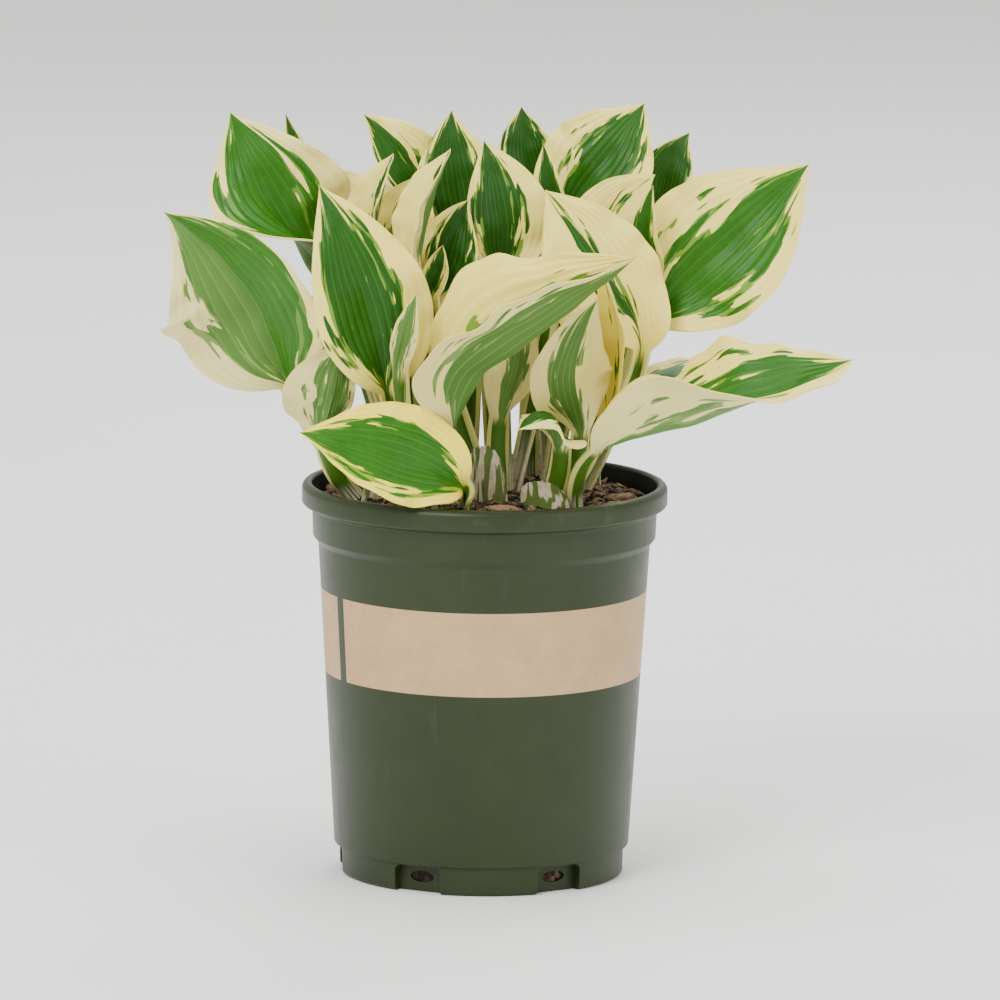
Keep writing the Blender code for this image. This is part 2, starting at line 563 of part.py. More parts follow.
shape = random.Random(7)
chip("bark_chip_1", -47, -46, 20, 10, 5.0, -40, bark, shape)
chip("bark_chip_2", 8, -52, 17, 9, 4.0, -50, bark, shape)
chip("bark_chip_3", 58, -34, 21, 9, 4.0, 65, bark, shape)
chip("bark_chip_4", 61, -10, 14, 8, 3.0, 10, bark, shape)
chip("bark_chip_5", -66, 24, 18, 8, 3.5, 60, bark, shape)
chip("bark_chip_6", -28, 58, 20, 9, 4.0, 20, bark, shape)
chip("bark_chip_7", 8, 64, 16, 8, 3.5, -15, bark, shape)
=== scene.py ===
from math import acos, cos, hypot, pi, radians, sin, tan

import bpy
import numpy as np
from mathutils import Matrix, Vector, noise


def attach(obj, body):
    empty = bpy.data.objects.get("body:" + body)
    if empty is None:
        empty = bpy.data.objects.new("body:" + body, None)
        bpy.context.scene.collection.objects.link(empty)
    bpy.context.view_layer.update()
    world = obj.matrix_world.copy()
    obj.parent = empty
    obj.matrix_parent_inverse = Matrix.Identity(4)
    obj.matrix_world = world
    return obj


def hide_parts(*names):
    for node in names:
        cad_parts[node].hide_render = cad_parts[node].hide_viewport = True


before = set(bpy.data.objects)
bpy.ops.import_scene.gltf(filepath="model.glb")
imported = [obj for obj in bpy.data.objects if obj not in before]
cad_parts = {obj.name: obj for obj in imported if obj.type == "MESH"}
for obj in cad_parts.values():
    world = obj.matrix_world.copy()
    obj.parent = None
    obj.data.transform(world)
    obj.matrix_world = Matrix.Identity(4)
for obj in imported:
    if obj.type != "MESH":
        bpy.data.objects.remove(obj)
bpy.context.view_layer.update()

# Pot. A blow-moulded nursery pot in dark olive plastic: rolled lip, stepped collar, six arched drain
# notches round the foot, each with an oval hole in its back wall. A tan band is printed round the body,
# with a narrow bare strip where the print starts and ends.
MM = 0.001  # lengths are in millimetres, but those inside a finish are in metres
POT_SIDES = 144
FLOOR_HEIGHT = 1.6
WALL = 1.3
POT_WALL = [
    (0.0, 0.0, 0), (65.1, 0.0, 2.2), (65.4, 13.0, 0.5), (67.4, 13.5, 0.7), (75.7, 152.4, 2.0),
    (78.2, 155.5, 1.6), (78.7, 168.6, 1.4), (83.4, 170.4, 1.5), (83.4, 180.0, 3.0), (78.7, 180.0, 1.5),
    (78.7, 178.4, 0),
]
POT_HOLLOW = [
    (0.0, FLOOR_HEIGHT, 0), (63.6, FLOOR_HEIGHT, 2.0), (64.1, 12.4, 0.5), (66.1, 14.4, 0.7),
    (74.4, 152.8, 2.0), (76.9, 155.9, 1.6), (77.4, 168.0, 1.6), (78.7, 178.4, 0), (78.7, 190.0, 0),
]
NOTCH_COUNT = 6
NOTCH_FIRST = -26.5
NOTCH_HALF_WIDTH = 11.4
NOTCH_TOP = 12.5
NOTCH_BACK = 59.4
NOTCH_CORNER = 3.0
DRAIN_HALF_WIDTH = 6.0
DRAIN_HALF_HEIGHT = 2.6
DRAIN_CENTRE = 6.8
BAND_LOW = 93.2
BAND_HIGH = 131.8
BAND_GAP_BEARING = -61.0
BAND_GAP_HALF_ANGLE = 2.2
BAND_BLUR = 0.15
GAP_BLUR = 0.002
PAST_WALL = 90.0
DRAIN_SIDES = 24
DRAIN_BEHIND, DRAIN_BEFORE = 5, 3
OUTER_TAPER, OUTER_FOOT = 0.0598, 0.0660
LIP_DUST = (0.165, 0.180)
INSIDE_LIP_RADII = (0.0796, 0.0786)
INSIDE_LIP_HEIGHTS = (0.1690, 0.1700)
OLIVE_DARK, OLIVE_LIGHT = (0.016, 0.025, 0.006), (0.021, 0.032, 0.009)
TAN_DARK, TAN_LIGHT = (0.46, 0.30, 0.145), (0.52, 0.345, 0.175)
SCUFF_GREY = (0.050, 0.060, 0.034)
DUST_BROWN = (0.16, 0.12, 0.08)
# painted shade for the inside of the pot wall
INSIDE_PAINTED_SHADE = (0.004, 0.005, 0.003)


def mesh_piece(name, points, faces, finish=None, crease=40):
    """Mesh object from points in millimetres, smooth except where faces meet at more than crease degrees."""
    mesh = bpy.data.meshes.new(name)
    corners = [tuple(float(c) * MM for c in point) for point in points]
    mesh.from_pydata(corners, [], [tuple(int(i) for i in face) for face in faces])
    mesh.validate()
    mesh.shade_smooth()
    mesh.set_sharp_from_angle(angle=radians(crease))
    made = bpy.data.objects.new(name, mesh)
    bpy.context.scene.collection.objects.link(made)
    if finish:
        mesh.materials.append(finish)
    return made


def fix(piece, slot, *nodes):
    """The piece stands for its CAD nodes, which it hides, and goes with the one body; slot is not used."""
    if nodes:
        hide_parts(*nodes)
    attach(piece, "root")


def rounded(corners, steps=5):
    """(radius, height) profile from corners with a fillet radius each."""
    line = []
    for i, (r, z, fillet) in enumerate(corners):
        here = np.array((r, z))
        if not fillet:
            line.append(here)
            continue
        back, on = np.array(corners[i - 1][:2]) - here, np.array(corners[(i + 1) % len(corners)][:2]) - here
        back, on = back / np.linalg.norm(back), on / np.linalg.norm(on)
        half = acos(np.clip(back @ on, -1, 1)) / 2
        centre = here + (back + on) / np.linalg.norm(back + on) * fillet / sin(half)
        start = here + back * fillet / tan(half) - centre
        end = here + on * fillet / tan(half) - centre
        for k in range(steps + 1):
            way = start * (1 - k / steps) + end * k / steps
            line.append(centre + way / np.linalg.norm(way) * fillet)
    return line


def around(radius, sides):
    """Points round a circle, as (x, y) pairs."""
    turns = [2 * pi * k / sides for k in range(sides)]
    return [(radius * cos(turn), radius * sin(turn)) for turn in turns]


def lathe_faces(rings, sides):
    """Faces of a closed round solid whose points are one on the axis, the rings, and one on the axis."""
    last = 1 + (rings - 1) * sides
    faces = []
    for k in range(sides):
        n = (k + 1) % sides
        faces += [(0, 1 + n, 1 + k), (last + sides, last + k, last + n)]
        for ring in range(rings - 1):
            low, high = 1 + ring * sides, 1 + (ring + 1) * sides
            faces.append((low + k, low + n, high + n, high + k))
    return faces


def turned(name, profile, sides, finish=None):
    """Closed solid of revolution; the profile starts on the axis and is closed on it at the top."""
    rings = [p for p in profile if p[0] > 0]
    points = [(0, 0, rings[0][1])]
    for r, z in rings:
        points += [(x, y, z) for x, y in around(r, sides)]
    points.append((0, 0, rings[-1][1]))
    return mesh_piece(name, points, lathe_faces(len(rings), sides), finish)


def combine(target, tool, operation):
    """Cut or join target with tool, and clear the tool away."""
    step = target.modifiers.new(operation, "BOOLEAN")
    step.operation = operation
    step.solver = "EXACT"
    step.object = tool
    result = bpy.data.meshes.new_from_object(target.evaluated_get(bpy.context.evaluated_depsgraph_get()))
    target.modifiers.clear()
    target.data = result
    bpy.data.objects.remove(tool)


def notch_ring(outline, near, far):
    """The outline of (sideways, height) pairs pushed from radius near to far, at each of the six bearings."""
    points, faces = [], []
    n = len(outline)
    for k in range(NOTCH_COUNT):
        turn = radians(NOTCH_FIRST + k * 360 / NOTCH_COUNT)
        base = len(points)
        for radius in (near, far):
            for side, height in outline:
                points.append((sin(turn) * radius + cos(turn) * side,
                               -cos(turn) * radius + sin(turn) * side, height))
        faces += [tuple(base + j for j in range(n)), tuple(base + j for j in reversed(range(n, 2 * n)))]
        faces += [(base + j, base + n + j, base + n + (j + 1) % n, base + (j + 1) % n) for j in range(n)]
    return mesh_piece("notch_ring", points, faces)


def arch(grow):
    """Outline of a notch with rounded top corners, larger by grow."""
    half, top = NOTCH_HALF_WIDTH + grow, NOTCH_TOP + grow
    outline = [(-half, -2.0), (half, -2.0)]
    for centre, start in ((half - NOTCH_CORNER, 0), (NOTCH_CORNER - half, 90)):
        for step in range(0, 91, 15):
            turn = radians(start + step)
            outline.append((centre + NOTCH_CORNER * cos(turn),
                            top - NOTCH_CORNER + NOTCH_CORNER * sin(turn)))
    return outline[::-1]


def node(tree, kind, feeds=(), **settings):
    """Add a shader node; feeds are values or sockets, by order or by input name."""
    made = tree.nodes.new(kind)
    for name, value in settings.items():
        setattr(made, name, value)
    for place, value in (feeds.items() if isinstance(feeds, dict) else enumerate(feeds)):
        if isinstance(value, bpy.types.NodeSocket):
            tree.links.new(value, made.inputs[place])
        elif value is not None:
            made.inputs[place].default_value = value
    return made


def maths(tree, operation, *feeds):
    return node(tree, "ShaderNodeMath", feeds, operation=operation).outputs[0]


def times(tree, *feeds):
    return maths(tree, "MULTIPLY", *feeds)


def plus(tree, *feeds):
    return maths(tree, "ADD", *feeds)


def minus(tree, *feeds):
    return maths(tree, "SUBTRACT", *feeds)


def step(tree, value, low, high):
    """Smooth step of value from 0 at low to 1 at high."""
    feeds = (value, low, high, 0.0, 1.0)
    return node(tree, "ShaderNodeMapRange", feeds, interpolation_type="SMOOTHSTEP").outputs[0]


def tint(tree, share, first, second, how="MIX"):
    """Colour between first and second by share."""
    first, second = [(*c, 1.0) if isinstance(c, tuple) and len(c) == 3 else c for c in (first, second)]
    feeds = {0: share, 6: first, 7: second}
    return node(tree, "ShaderNodeMix", feeds, data_type="RGBA", blend_type=how).outputs[2]


def cloud(tree, place, scale, detail=3.0):
    return node(tree, "ShaderNodeTexNoise", {"Vector": place, "Scale": scale, "Detail": detail}).outputs[0]


def own_place(tree):
    return node(tree, "ShaderNodeTexCoord").outputs["Object"]


def parts(tree, vector):
    return node(tree, "ShaderNodeSeparateXYZ", (vector,)).outputs


def effect(name, takes, gives):
    """Empty shader node group with named inputs and outputs."""
    tree = bpy.data.node_groups.new(name, "ShaderNodeTree")
    for label, kind, value in takes:
        socket = tree.interface.new_socket(label, in_out="INPUT", socket_type=kind)
        if value is not None:
            socket.default_value = value
    for label, kind in gives:
        tree.interface.new_socket(label, in_out="OUTPUT", socket_type=kind)
    return tree, tree.nodes.new("NodeGroupInput").outputs, tree.nodes.new("NodeGroupOutput").inputs


def use(tree, group, feeds):
    """Add a shared group; feeds are values, colours or sockets, by input name."""
    made = tree.nodes.new("ShaderNodeGroup")
    made.node_tree = group
    for label, value in feeds.items():
        if isinstance(value, bpy.types.NodeSocket):
            tree.links.new(value, made.inputs[label])
        else:
            colour = isinstance(value, tuple) and len(value) == 3
            made.inputs[label].default_value = (*value, 1.0) if colour else value
    return made.outputs


def new_finish(name, **values):
    """Material with its Principled shader; values are set on the shader's own sockets."""
    made = bpy.data.materials.new(name)
    made.use_nodes = True
    shader = made.node_tree.nodes["Principled BSDF"]
    for label, value in values.items():
        shader.inputs[label.replace("_", " ")].default_value = value
    return made, made.node_tree, shader.inputs


# Two colours mixed in soft patches, with a second, finer set of patches inside them.
mottle, given, out = effect("mottled colour", [
    ("Place", "NodeSocketVector", None), ("Scale", "NodeSocketFloat", 40.0),
    ("Dark", "NodeSocketColor", (0, 0, 0, 1)), ("Light", "NodeSocketColor", (1, 1, 1, 1)),
], [("Colour", "NodeSocketColor"), ("Patches", "NodeSocketFloat")])
coarse = cloud(mottle, given["Place"], given["Scale"], 4.0)
fine = cloud(mottle, given["Place"], times(mottle, given["Scale"], 5.3), 3.0)
both = plus(mottle, times(mottle, coarse, 0.6), times(mottle, fine, 0.4))
both = step(mottle, both, 0.32, 0.68)
mottle.links.new(tint(mottle, both, given["Dark"], given["Light"]), out["Colour"])
mottle.links.new(both, out["Patches"])

# Fine surface relief from noise: how coarse it is and how deep, in metres.
relief, given, out = effect("grain relief", [
    ("Place", "NodeSocketVector", None), ("Scale", "NodeSocketFloat", 400.0),
    ("Depth", "NodeSocketFloat", 0.0001),
], [("Normal", "NodeSocketVector")])
raised = cloud(relief, given["Place"], given["Scale"], 4.0)
bumped = node(relief, "ShaderNodeBump", {"Strength": 0.6, "Distance": given["Depth"], "Height": raised})
relief.links.new(bumped.outputs[0], out["Normal"])


def patchy(tree, place, scale, dark, light):
    """Outputs Colour and Patches of the mottled colour group."""
    return use(tree, mottle, {"Place": place, "Scale": scale, "Dark": dark, "Light": light})


def grainy(tree, shader, place, scale, depth):
    """Give the shader the grain relief."""
    grain = use(tree, relief, {"Place": place, "Scale": scale, "Depth": depth})
    tree.links.new(grain["Normal"], shader["Normal"])


pot_plastic, tree, shader = new_finish("pot_plastic", IOR=1.48, Specular_IOR_Level=0.3)
place = own_place(tree)
x, y, z = parts(tree, place)
olive = patchy(tree, place, 14.0, OLIVE_DARK, OLIVE_LIGHT)
upright = node(tree, "ShaderNodeMapping", {"Vector": place, "Scale": (260.0, 260.0, 22.0)}).outputs[0]
scuffs = step(tree, cloud(tree, upright, 1.0, 4.0), 0.62, 0.80)
plastic = tint(tree, times(tree, scuffs, 0.25), olive["Colour"], SCUFF_GREY)
dusty = step(tree, cloud(tree, place, 90.0, 5.0), 0.58, 0.74)
dusty = times(tree, dusty, step(tree, z, *LIP_DUST))
plastic = tint(tree, times(tree, dusty, 0.18), plastic, DUST_BROWN)
print_grain = patchy(tree, place, 60.0, TAN_DARK, TAN_LIGHT)
bearing = maths(tree, "ARCTAN2", x, times(tree, y, -1.0))
off_gap = maths(tree, "ABSOLUTE", minus(tree, bearing, radians(BAND_GAP_BEARING)))
gap_edge = radians(BAND_GAP_HALF_ANGLE)
printed = times(tree, step(tree, z, (BAND_LOW - BAND_BLUR) * MM, (BAND_LOW + BAND_BLUR) * MM),
                step(tree, z, (BAND_HIGH + BAND_BLUR) * MM, (BAND_HIGH - BAND_BLUR) * MM))
printed = times(tree, printed, step(tree, off_gap, gap_edge - GAP_BLUR, gap_edge + GAP_BLUR))
radius = maths(tree, "SQRT", plus(tree, times(tree, x, x), times(tree, y, y)))
outer_wall = maths(tree, "MULTIPLY_ADD", z, OUTER_TAPER, OUTER_FOOT)
printed = times(tree, printed, maths(tree, "GREATER_THAN", radius, outer_wall))
# Painted shade: the inside face of the wall above the mix is darkened towards near black, standing for the
# shadow inside the pot.
inside_painted_shade = times(tree, step(tree, radius, *INSIDE_LIP_RADII), step(tree, z, *INSIDE_LIP_HEIGHTS))
plastic = tint(tree, times(tree, inside_painted_shade, 0.65), plastic, INSIDE_PAINTED_SHADE)
tree.links.new(tint(tree, printed, plastic, print_grain["Colour"]), shader["Base Color"])
gloss = maths(tree, "MULTIPLY_ADD", olive["Patches"], 0.08, 0.36)
gloss = plus(tree, gloss, times(tree, scuffs, 0.12))
tree.links.new(plus(tree, gloss, times(tree, printed, 0.08)), shader["Roughness"])
grainy(tree, shader, place, 900.0, 0.00006)

pot = turned("nursery_pot", rounded(POT_WALL), POT_SIDES, pot_plastic)
combine(pot, notch_ring(arch(0.0), NOTCH_BACK, PAST_WALL), "DIFFERENCE")
hollow = turned("hollow", rounded(POT_HOLLOW), POT_SIDES)
combine(hollow, notch_ring(arch(WALL), NOTCH_BACK - WALL, PAST_WALL), "DIFFERENCE")
combine(pot, hollow, "DIFFERENCE")
oval = []
for k in range(DRAIN_SIDES):
    turn = -2 * pi * k / DRAIN_SIDES
    oval.append((DRAIN_HALF_WIDTH * cos(turn), DRAIN_CENTRE + DRAIN_HALF_HEIGHT * sin(turn)))
combine(pot, notch_ring(oval, NOTCH_BACK - DRAIN_BEHIND, NOTCH_BACK + DRAIN_BEFORE), "DIFFERENCE")
pot.data.shade_smooth()
pot.data.set_sharp_from_angle(angle=radians(35))
fix(pot, "pot_plastic", "pot")

# Crown. The woody rhizome that every shoot grows from, with fleshy roots below; brown and corky, and
# buried in the potting mix, so its solid keeps its shape and takes a bark-like skin.
crown_skin, tree, shader = new_finish("crown_skin", Roughness=0.85)
place = own_place(tree)
corky = patchy(tree, place, 120.0, (0.07, 0.04, 0.025), (0.26, 0.18, 0.11))
tree.links.new(corky["Colour"], shader["Base Color"])
grainy(tree, shader, place, 260.0, 0.0006)
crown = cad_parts["crown"]
for k in range(len(crown.material_slots)):
    crown.material_slots[k].material = crown_skin

# Potting mix. Dark composted bark and peat that fills the pot to just under the lip and is mounded over
# the crown. Its top is rough, with crumbs of bark and white perlite grains loose on it.
SOIL_SIDE = [
    (57.4, 2.0), (57.4, 14.3), (65.6, 14.9), (69.4, 78.0), (73.1, 133.0), (74.0, 152.6), (76.5, 156.6),
    (77.0, 170.6),
]
SOIL_RADIUS = 77.0
SOIL_EDGE = 171.0
SOIL_MOUND = 5.6
SOIL_DOME = 0.8
SOIL_CALM_EDGE = 9
SOIL_ROUGHNESS = [(0.11, 3.0, 1.5), (0.37, 9.0, 1.0), (0.9, 5.0, 0.5)]
SOIL_RINGS = 46
SOIL_SPOKES = 150


def soil_top(x, y):
    """Height of the mix, in millimetres: mounded to the middle, rough at three sizes."""
    r = min(hypot(x, y) / SOIL_RADIUS, 1.0)
    rough = sum(noise.noise(Vector((x * fine, y * fine, layer))) * high
                for fine, layer, high in SOIL_ROUGHNESS)
    return SOIL_EDGE + SOIL_MOUND * (1 - r * r)**SOIL_DOME + rough * min(1.0, (1 - r) * SOIL_CALM_EDGE)


def make_soil():
    """Points and faces of the mix: its side and its rough top."""
    points = [(0, 0, SOIL_SIDE[0][1])]
    for r, z in SOIL_SIDE:
        points += [(x, y, z) for x, y in around(r, SOIL_SPOKES)]
    for ring in range(SOIL_RINGS):
        r = SOIL_RADIUS * (1 - ring / SOIL_RINGS)
        points += [(x, y, soil_top(x, y)) for x, y in around(r, SOIL_SPOKES)]
    points.append((0, 0, soil_top(0, 0)))
    return points, lathe_faces(len(SOIL_SIDE) + SOIL_RINGS, SOIL_SPOKES)


potting_mix, tree, shader = new_finish("potting_mix", Roughness=0.95)
place = own_place(tree)
cells = node(tree, "ShaderNodeTexVoronoi", {"Vector": place, "Scale": 420.0})
kind = parts(tree, cells.outputs["Color"])[0]
crumb = node(tree, "ShaderNodeValToRGB", (kind,))
crumb.color_ramp.interpolation = "CONSTANT"
crumb.color_ramp.elements[0].color = (0.012, 0.008, 0.005, 1)
crumb.color_ramp.elements[1].position = 0.90
crumb.color_ramp.elements[1].color = (0.22, 0.14, 0.08, 1)
for position, colour in ((0.35, (0.028, 0.017, 0.010, 1)), (0.62, (0.055, 0.030, 0.017, 1)),
                         (0.80, (0.10, 0.055, 0.030, 1))):
    crumb.color_ramp.elements.new(position).color = colour
dark = patchy(tree, place, 160.0, (0.5, 0.5, 0.5), (1.0, 1.0, 1.0))
tree.links.new(tint(tree, 1.0, crumb.outputs[0], dark["Colour"], "MULTIPLY"), shader["Base Color"])
grainy(tree, shader, place, 700.0, 0.0012)

points, faces = make_soil()
fix(mesh_piece("potting_mix_fill", points, faces, potting_mix), "potting_mix", "soil")

bark_chip, tree, shader = new_finish("bark_chip", Roughness=0.9)
place = own_place(tree)
kind = patchy(tree, place, 75.0, (0.035, 0.020, 0.011), (0.40, 0.25, 0.13))
grain = cloud(tree, place, 900.0, 4.0)
bark_colour = tint(tree, step(tree, grain, 0.35, 0.7), kind["Colour"], (0.13, 0.075, 0.04))
tree.links.new(bark_colour, shader["Base Color"])
grainy(tree, shader, place, 500.0, 0.0008)

perlite, tree, shader = new_finish("perlite", Roughness=0.9)
place = own_place(tree)
white = patchy(tree, place, 500.0, (0.50, 0.46, 0.40), (0.80, 0.78, 0.74))
tree.links.new(white["Colour"], shader["Base Color"])
grainy(tree, shader, place, 1500.0, 0.0002)


def scatter_tree():
    """Geometry Nodes tree that strews small rough grains over a surface."""
    tree = bpy.data.node_groups.new("strewn grains", "GeometryNodeTree")
    socket = tree.interface.new_socket
    socket("Geometry", in_out="INPUT", socket_type="NodeSocketGeometry")
    for label, kind in (("Grains per square metre", "Float"), ("Seed", "Int"), ("Smallest", "Vector"),
                        ("Largest", "Vector"), ("Roughness size", "Float"), ("Finish", "Material")):
        socket(label, in_out="INPUT", socket_type="NodeSocket" + kind)
    socket("Geometry", in_out="OUTPUT", socket_type="NodeSocketGeometry")
    given = tree.nodes.new("NodeGroupInput").outputs
    out = tree.nodes.new("NodeGroupOutput").inputs
    strewn = node(tree, "GeometryNodeDistributePointsOnFaces", {
        "Mesh": given["Geometry"], "Density": given["Grains per square metre"], "Seed": given["Seed"]})
    ball = node(tree, "GeometryNodeMeshIcoSphere", {"Radius": 1.0, "Subdivisions": 2})
    kind = "FunctionNodeRandomValue"
    tilt = node(tree, kind, {"Min": (-0.5, -0.5, 0.0), "Max": (0.5, 0.5, 6.283), "Seed": 3},
                data_type="FLOAT_VECTOR")
    size = node(tree, kind, {"Min": given["Smallest"], "Max": given["Largest"], "Seed": 4},
                data_type="FLOAT_VECTOR")
    laid = node(tree, "GeometryNodeInstanceOnPoints", {
        "Points": strewn.outputs["Points"], "Instance": ball.outputs["Mesh"],
        "Rotation": tilt.outputs[0], "Scale": size.outputs[0]})
    loose = node(tree, "GeometryNodeRealizeInstances", {"Geometry": laid.outputs[0]})
    knobbly = node(tree, "ShaderNodeTexNoise", {
        "Vector": node(tree, "GeometryNodeInputPosition").outputs[0], "Scale": 420.0, "Detail": 1.0})
    about_zero = node(tree, "ShaderNodeVectorMath", (knobbly.outputs["Color"], (0.5, 0.5, 0.5)),
                      operation="SUBTRACT")
    offset = node(tree, "ShaderNodeVectorMath", {0: about_zero.outputs[0], "Scale": given["Roughness size"]},
                  operation="SCALE")
    rough = node(tree, "GeometryNodeSetPosition", {"Geometry": loose.outputs[0], "Offset": offset.outputs[0]})
    coated = node(tree, "GeometryNodeSetMaterial", {
        "Geometry": rough.outputs[0], "Material": given["Finish"]})
    tree.links.new(coated.outputs[0], out[0])
    return tree


strewing = scatter_tree()
STREWN_RINGS = 14
STREWN_SPOKES = 60
STREWN_RADIUS = 74.0
STREWN_ABOVE = 0.4


def strew(name, finish, slot, density, seed, smallest, largest, roughness):
    """One mesh of loose grains over the top of the mix, inside the lip."""
    spots = [(0, 0, soil_top(0, 0))]
    for ring in range(1, STREWN_RINGS + 1):
        circle = around(STREWN_RADIUS * ring / STREWN_RINGS, STREWN_SPOKES)
        spots += [(x, y, soil_top(x, y) + STREWN_ABOVE) for x, y in circle]
    faces = [(0, 1 + k, 1 + (k + 1) % STREWN_SPOKES) for k in range(STREWN_SPOKES)]
    for ring in range(STREWN_RINGS - 1):
        for k in range(STREWN_SPOKES):
            low, n = 1 + ring * STREWN_SPOKES, (k + 1) % STREWN_SPOKES
            high = low + STREWN_SPOKES
            faces.append((low + k, high + k, high + n, low + n))
    made = mesh_piece(name, spots, faces)
    modifier = made.modifiers.new("strewn", "NODES")
    modifier.node_group = strewing
    wanted = {"Grains per square metre": density, "Seed": seed, "Smallest": tuple(v * MM for v in smallest),
              "Largest": tuple(v * MM for v in largest), "Roughness size": roughness * MM, "Finish": finish}
    for item in strewing.interface.items_tree:
        if item.in_out == "INPUT" and item.name in wanted:
            modifier[item.identifier] = wanted[item.name]
    plain = bpy.data.meshes.new_from_object(made.evaluated_get(bpy.context.evaluated_depsgraph_get()))
    made.modifiers.clear()
    made.data = plain
    plain.shade_smooth()
    plain.set_sharp_from_angle(angle=radians(30))
    fix(made, slot)


strew("bark_crumbs", bark_chip, "bark_chip", 22000.0, 5, (1.2, 0.8, 0.5), (5.0, 2.3, 1.2), 2.0)
strew("mix_crumbs", potting_mix, "potting_mix", 52000.0, 9, (0.6, 0.5, 0.4), (2.2, 1.8, 1.3), 1.4)
strew("perlite_grains", perlite, "potting_mix", 1900.0, 11, (0.5, 0.5, 0.4), (1.3, 1.2, 1.0), 0.7)

# Bark chips. Larger splinters of pine bark lying loose on the mix, torn along the grain, with worn
# edges and ragged ends.
CHIP_ROWS = 26
CHIP_SIDES = 20
CHIP_WEAR = 0.30
CHIP_LAYERS = 0.22
CHIP_RAGGED = 0.22
CHIP_TILT = 0.5


def bark_splinter(number, x, y, length, width, thickness, degrees):
    """One splinter at (x, y) on the mix, its length turned by degrees."""
    turn = radians(degrees)
    along, over = (cos(turn), sin(turn)), (-sin(turn), cos(turn))
    seat = soil_top(x, y) + 0.25 * thickness
    points = []
    for i in range(CHIP_ROWS + 1):
        t = i / CHIP_ROWS * 2 - 1
        girth = (1 - abs(t)**5)**0.5
        for k in range(CHIP_SIDES):
            turn = 2 * pi * k / CHIP_SIDES
            side, up = cos(turn), sin(turn)
            square = (abs(side)**4 + abs(up)**4)**-0.25
            side, up = side * square * girth, up * square * girth
            wear = noise.noise(Vector((t * 2.2, side * 4, number * 9.1 + up))) * CHIP_WEAR
            layer = noise.noise(Vector((t * 1.1, side * 9, number * 3.7))) * CHIP_LAYERS
            ragged = noise.noise(Vector((number * 5.3, side * 6, up * 4))) * CHIP_RAGGED * t
            a, b = (t + ragged) * length / 2, side * (1 + wear) * width / 2
            points.append((x + along[0] * a + over[0] * b, y + along[1] * a + over[1] * b,
                           seat + up * (1 + wear + layer) * thickness / 2 + CHIP_TILT * t))
    last = CHIP_ROWS * CHIP_SIDES
    faces = [tuple(reversed(range(CHIP_SIDES))), tuple(range(last, last + CHIP_SIDES))]
    for i in range(CHIP_ROWS):
        low, high = i * CHIP_SIDES, (i + 1) * CHIP_SIDES
        for k in range(CHIP_SIDES):
            n = (k + 1) % CHIP_SIDES
            faces.append((low + k, low + n, high + n, high + k))
    made = mesh_piece(f"bark_splinter_{number}", points, faces, bark_chip, 30)
    fix(made, "bark_chip", f"bark_chip_{number}")


for chip in ((1, -47, -46, 20, 10, 5.0, -40), (2, 8, -52, 17, 9, 4.0, -50), (3, 58, -34, 21, 9, 4.0, 65),
             (4, 61, -10, 14, 8, 3.0, 10), (5, -66, 24, 18, 8, 3.5, 60), (6, -28, 58, 20, 9, 4.0, 20),
             (7, 8, 64, 16, 8, 3.5, -15)):
    bark_splinter(*chip)

# Sheaths. Papery scale leaves that wrap the foot of a shoot, widest at the soil and frayed at the top;
# white to pale green skin with green and purple-pink streaks up their length.
SHOOTS = {
    "a": (-57, -8), "b": (-36, 10), "c": (-18, -38), "d": (3, -14), "e": (32, -24), "f": (-8, 30),
    "g": (32, 26),
}
STALK_FOOT = 173.3
SHEATH_THICKNESS = 0.9
SHEATH_SUNK = 1.5
SHEATH_FRAY = 0.06
SHEATH_FALL = 0.4
SHEATH_PLEATS = 19
SHEATH_PLEAT_DEPTH = 0.12
SHEATH_FLARE = 1.3
SHEATH_ROWS = 22
SHEATH_COLUMNS = 37


def slab_faces(rows, columns):
    """Faces of a closed slab whose upper grid of points is followed by its lower grid."""
    under = rows * columns
    faces = []
    for i in range(rows - 1):
        for j in range(columns - 1):
            a = i * columns + j
            b, c, d = a + 1, a + columns + 1, a + columns
            faces += [(a, b, c, d), (under + d, under + c, under + b, under + a)]
        a, d = i * columns, (i + 1) * columns
        b, c = a + columns - 1, d + columns - 1
        faces += [(under + a, a, d, under + d), (b, under + b, under + c, c)]
    for j in range(columns - 1):
        a = (rows - 1) * columns + j
        faces += [(under + j, under + j + 1, j + 1, j), (a, a + 1, under + a + 1, under + a)]
    return faces


def mark(piece, name, values):
    """Store a vector for every point of the piece, for its material to read."""
    kept = piece.data.attributes.new(name, "FLOAT_VECTOR", "POINT")
    kept.data.foreach_set("vector", np.asarray(values, np.float32).ravel())


def marked(tree, name):
    """The three values of the stored vector."""
    return parts(tree, node(tree, "ShaderNodeAttribute", attribute_name=name).outputs["Vector"])


def flat_map(piece, rows, columns, along, across):
    """Bake map of a slab: upper skin on the left, lower on the right and the rims in narrow strips."""
    under = rows * columns
    chart = piece.data.uv_layers.new(name="OFBake").data
    for face in piece.data.polygons:
        points = [piece.data.loops[k].vertex_index for k in face.loop_indices]
        skins = {int(p >= under) for p in points}
        for k, p in zip(face.loop_indices, points):
            i, j = divmod(p % under, columns)
            s, t = across[j], along[i]
            if len(skins) == 1:
                chart[k].uv = (0.015 + 0.455 * s + 0.5 * (p >= under), 0.03 + 0.94 * t)
            elif j in (0, columns - 1) and {q % columns for q in points} == {j}:
                chart[k].uv = (0.478 + 0.01 * (j > 0) + 0.004 * (p >= under), 0.03 + 0.94 * t)
            else:
                chart[k].uv = (0.015 + 0.455 * s, 0.008 + 0.974 * (i > 0) + 0.006 * (p >= under))


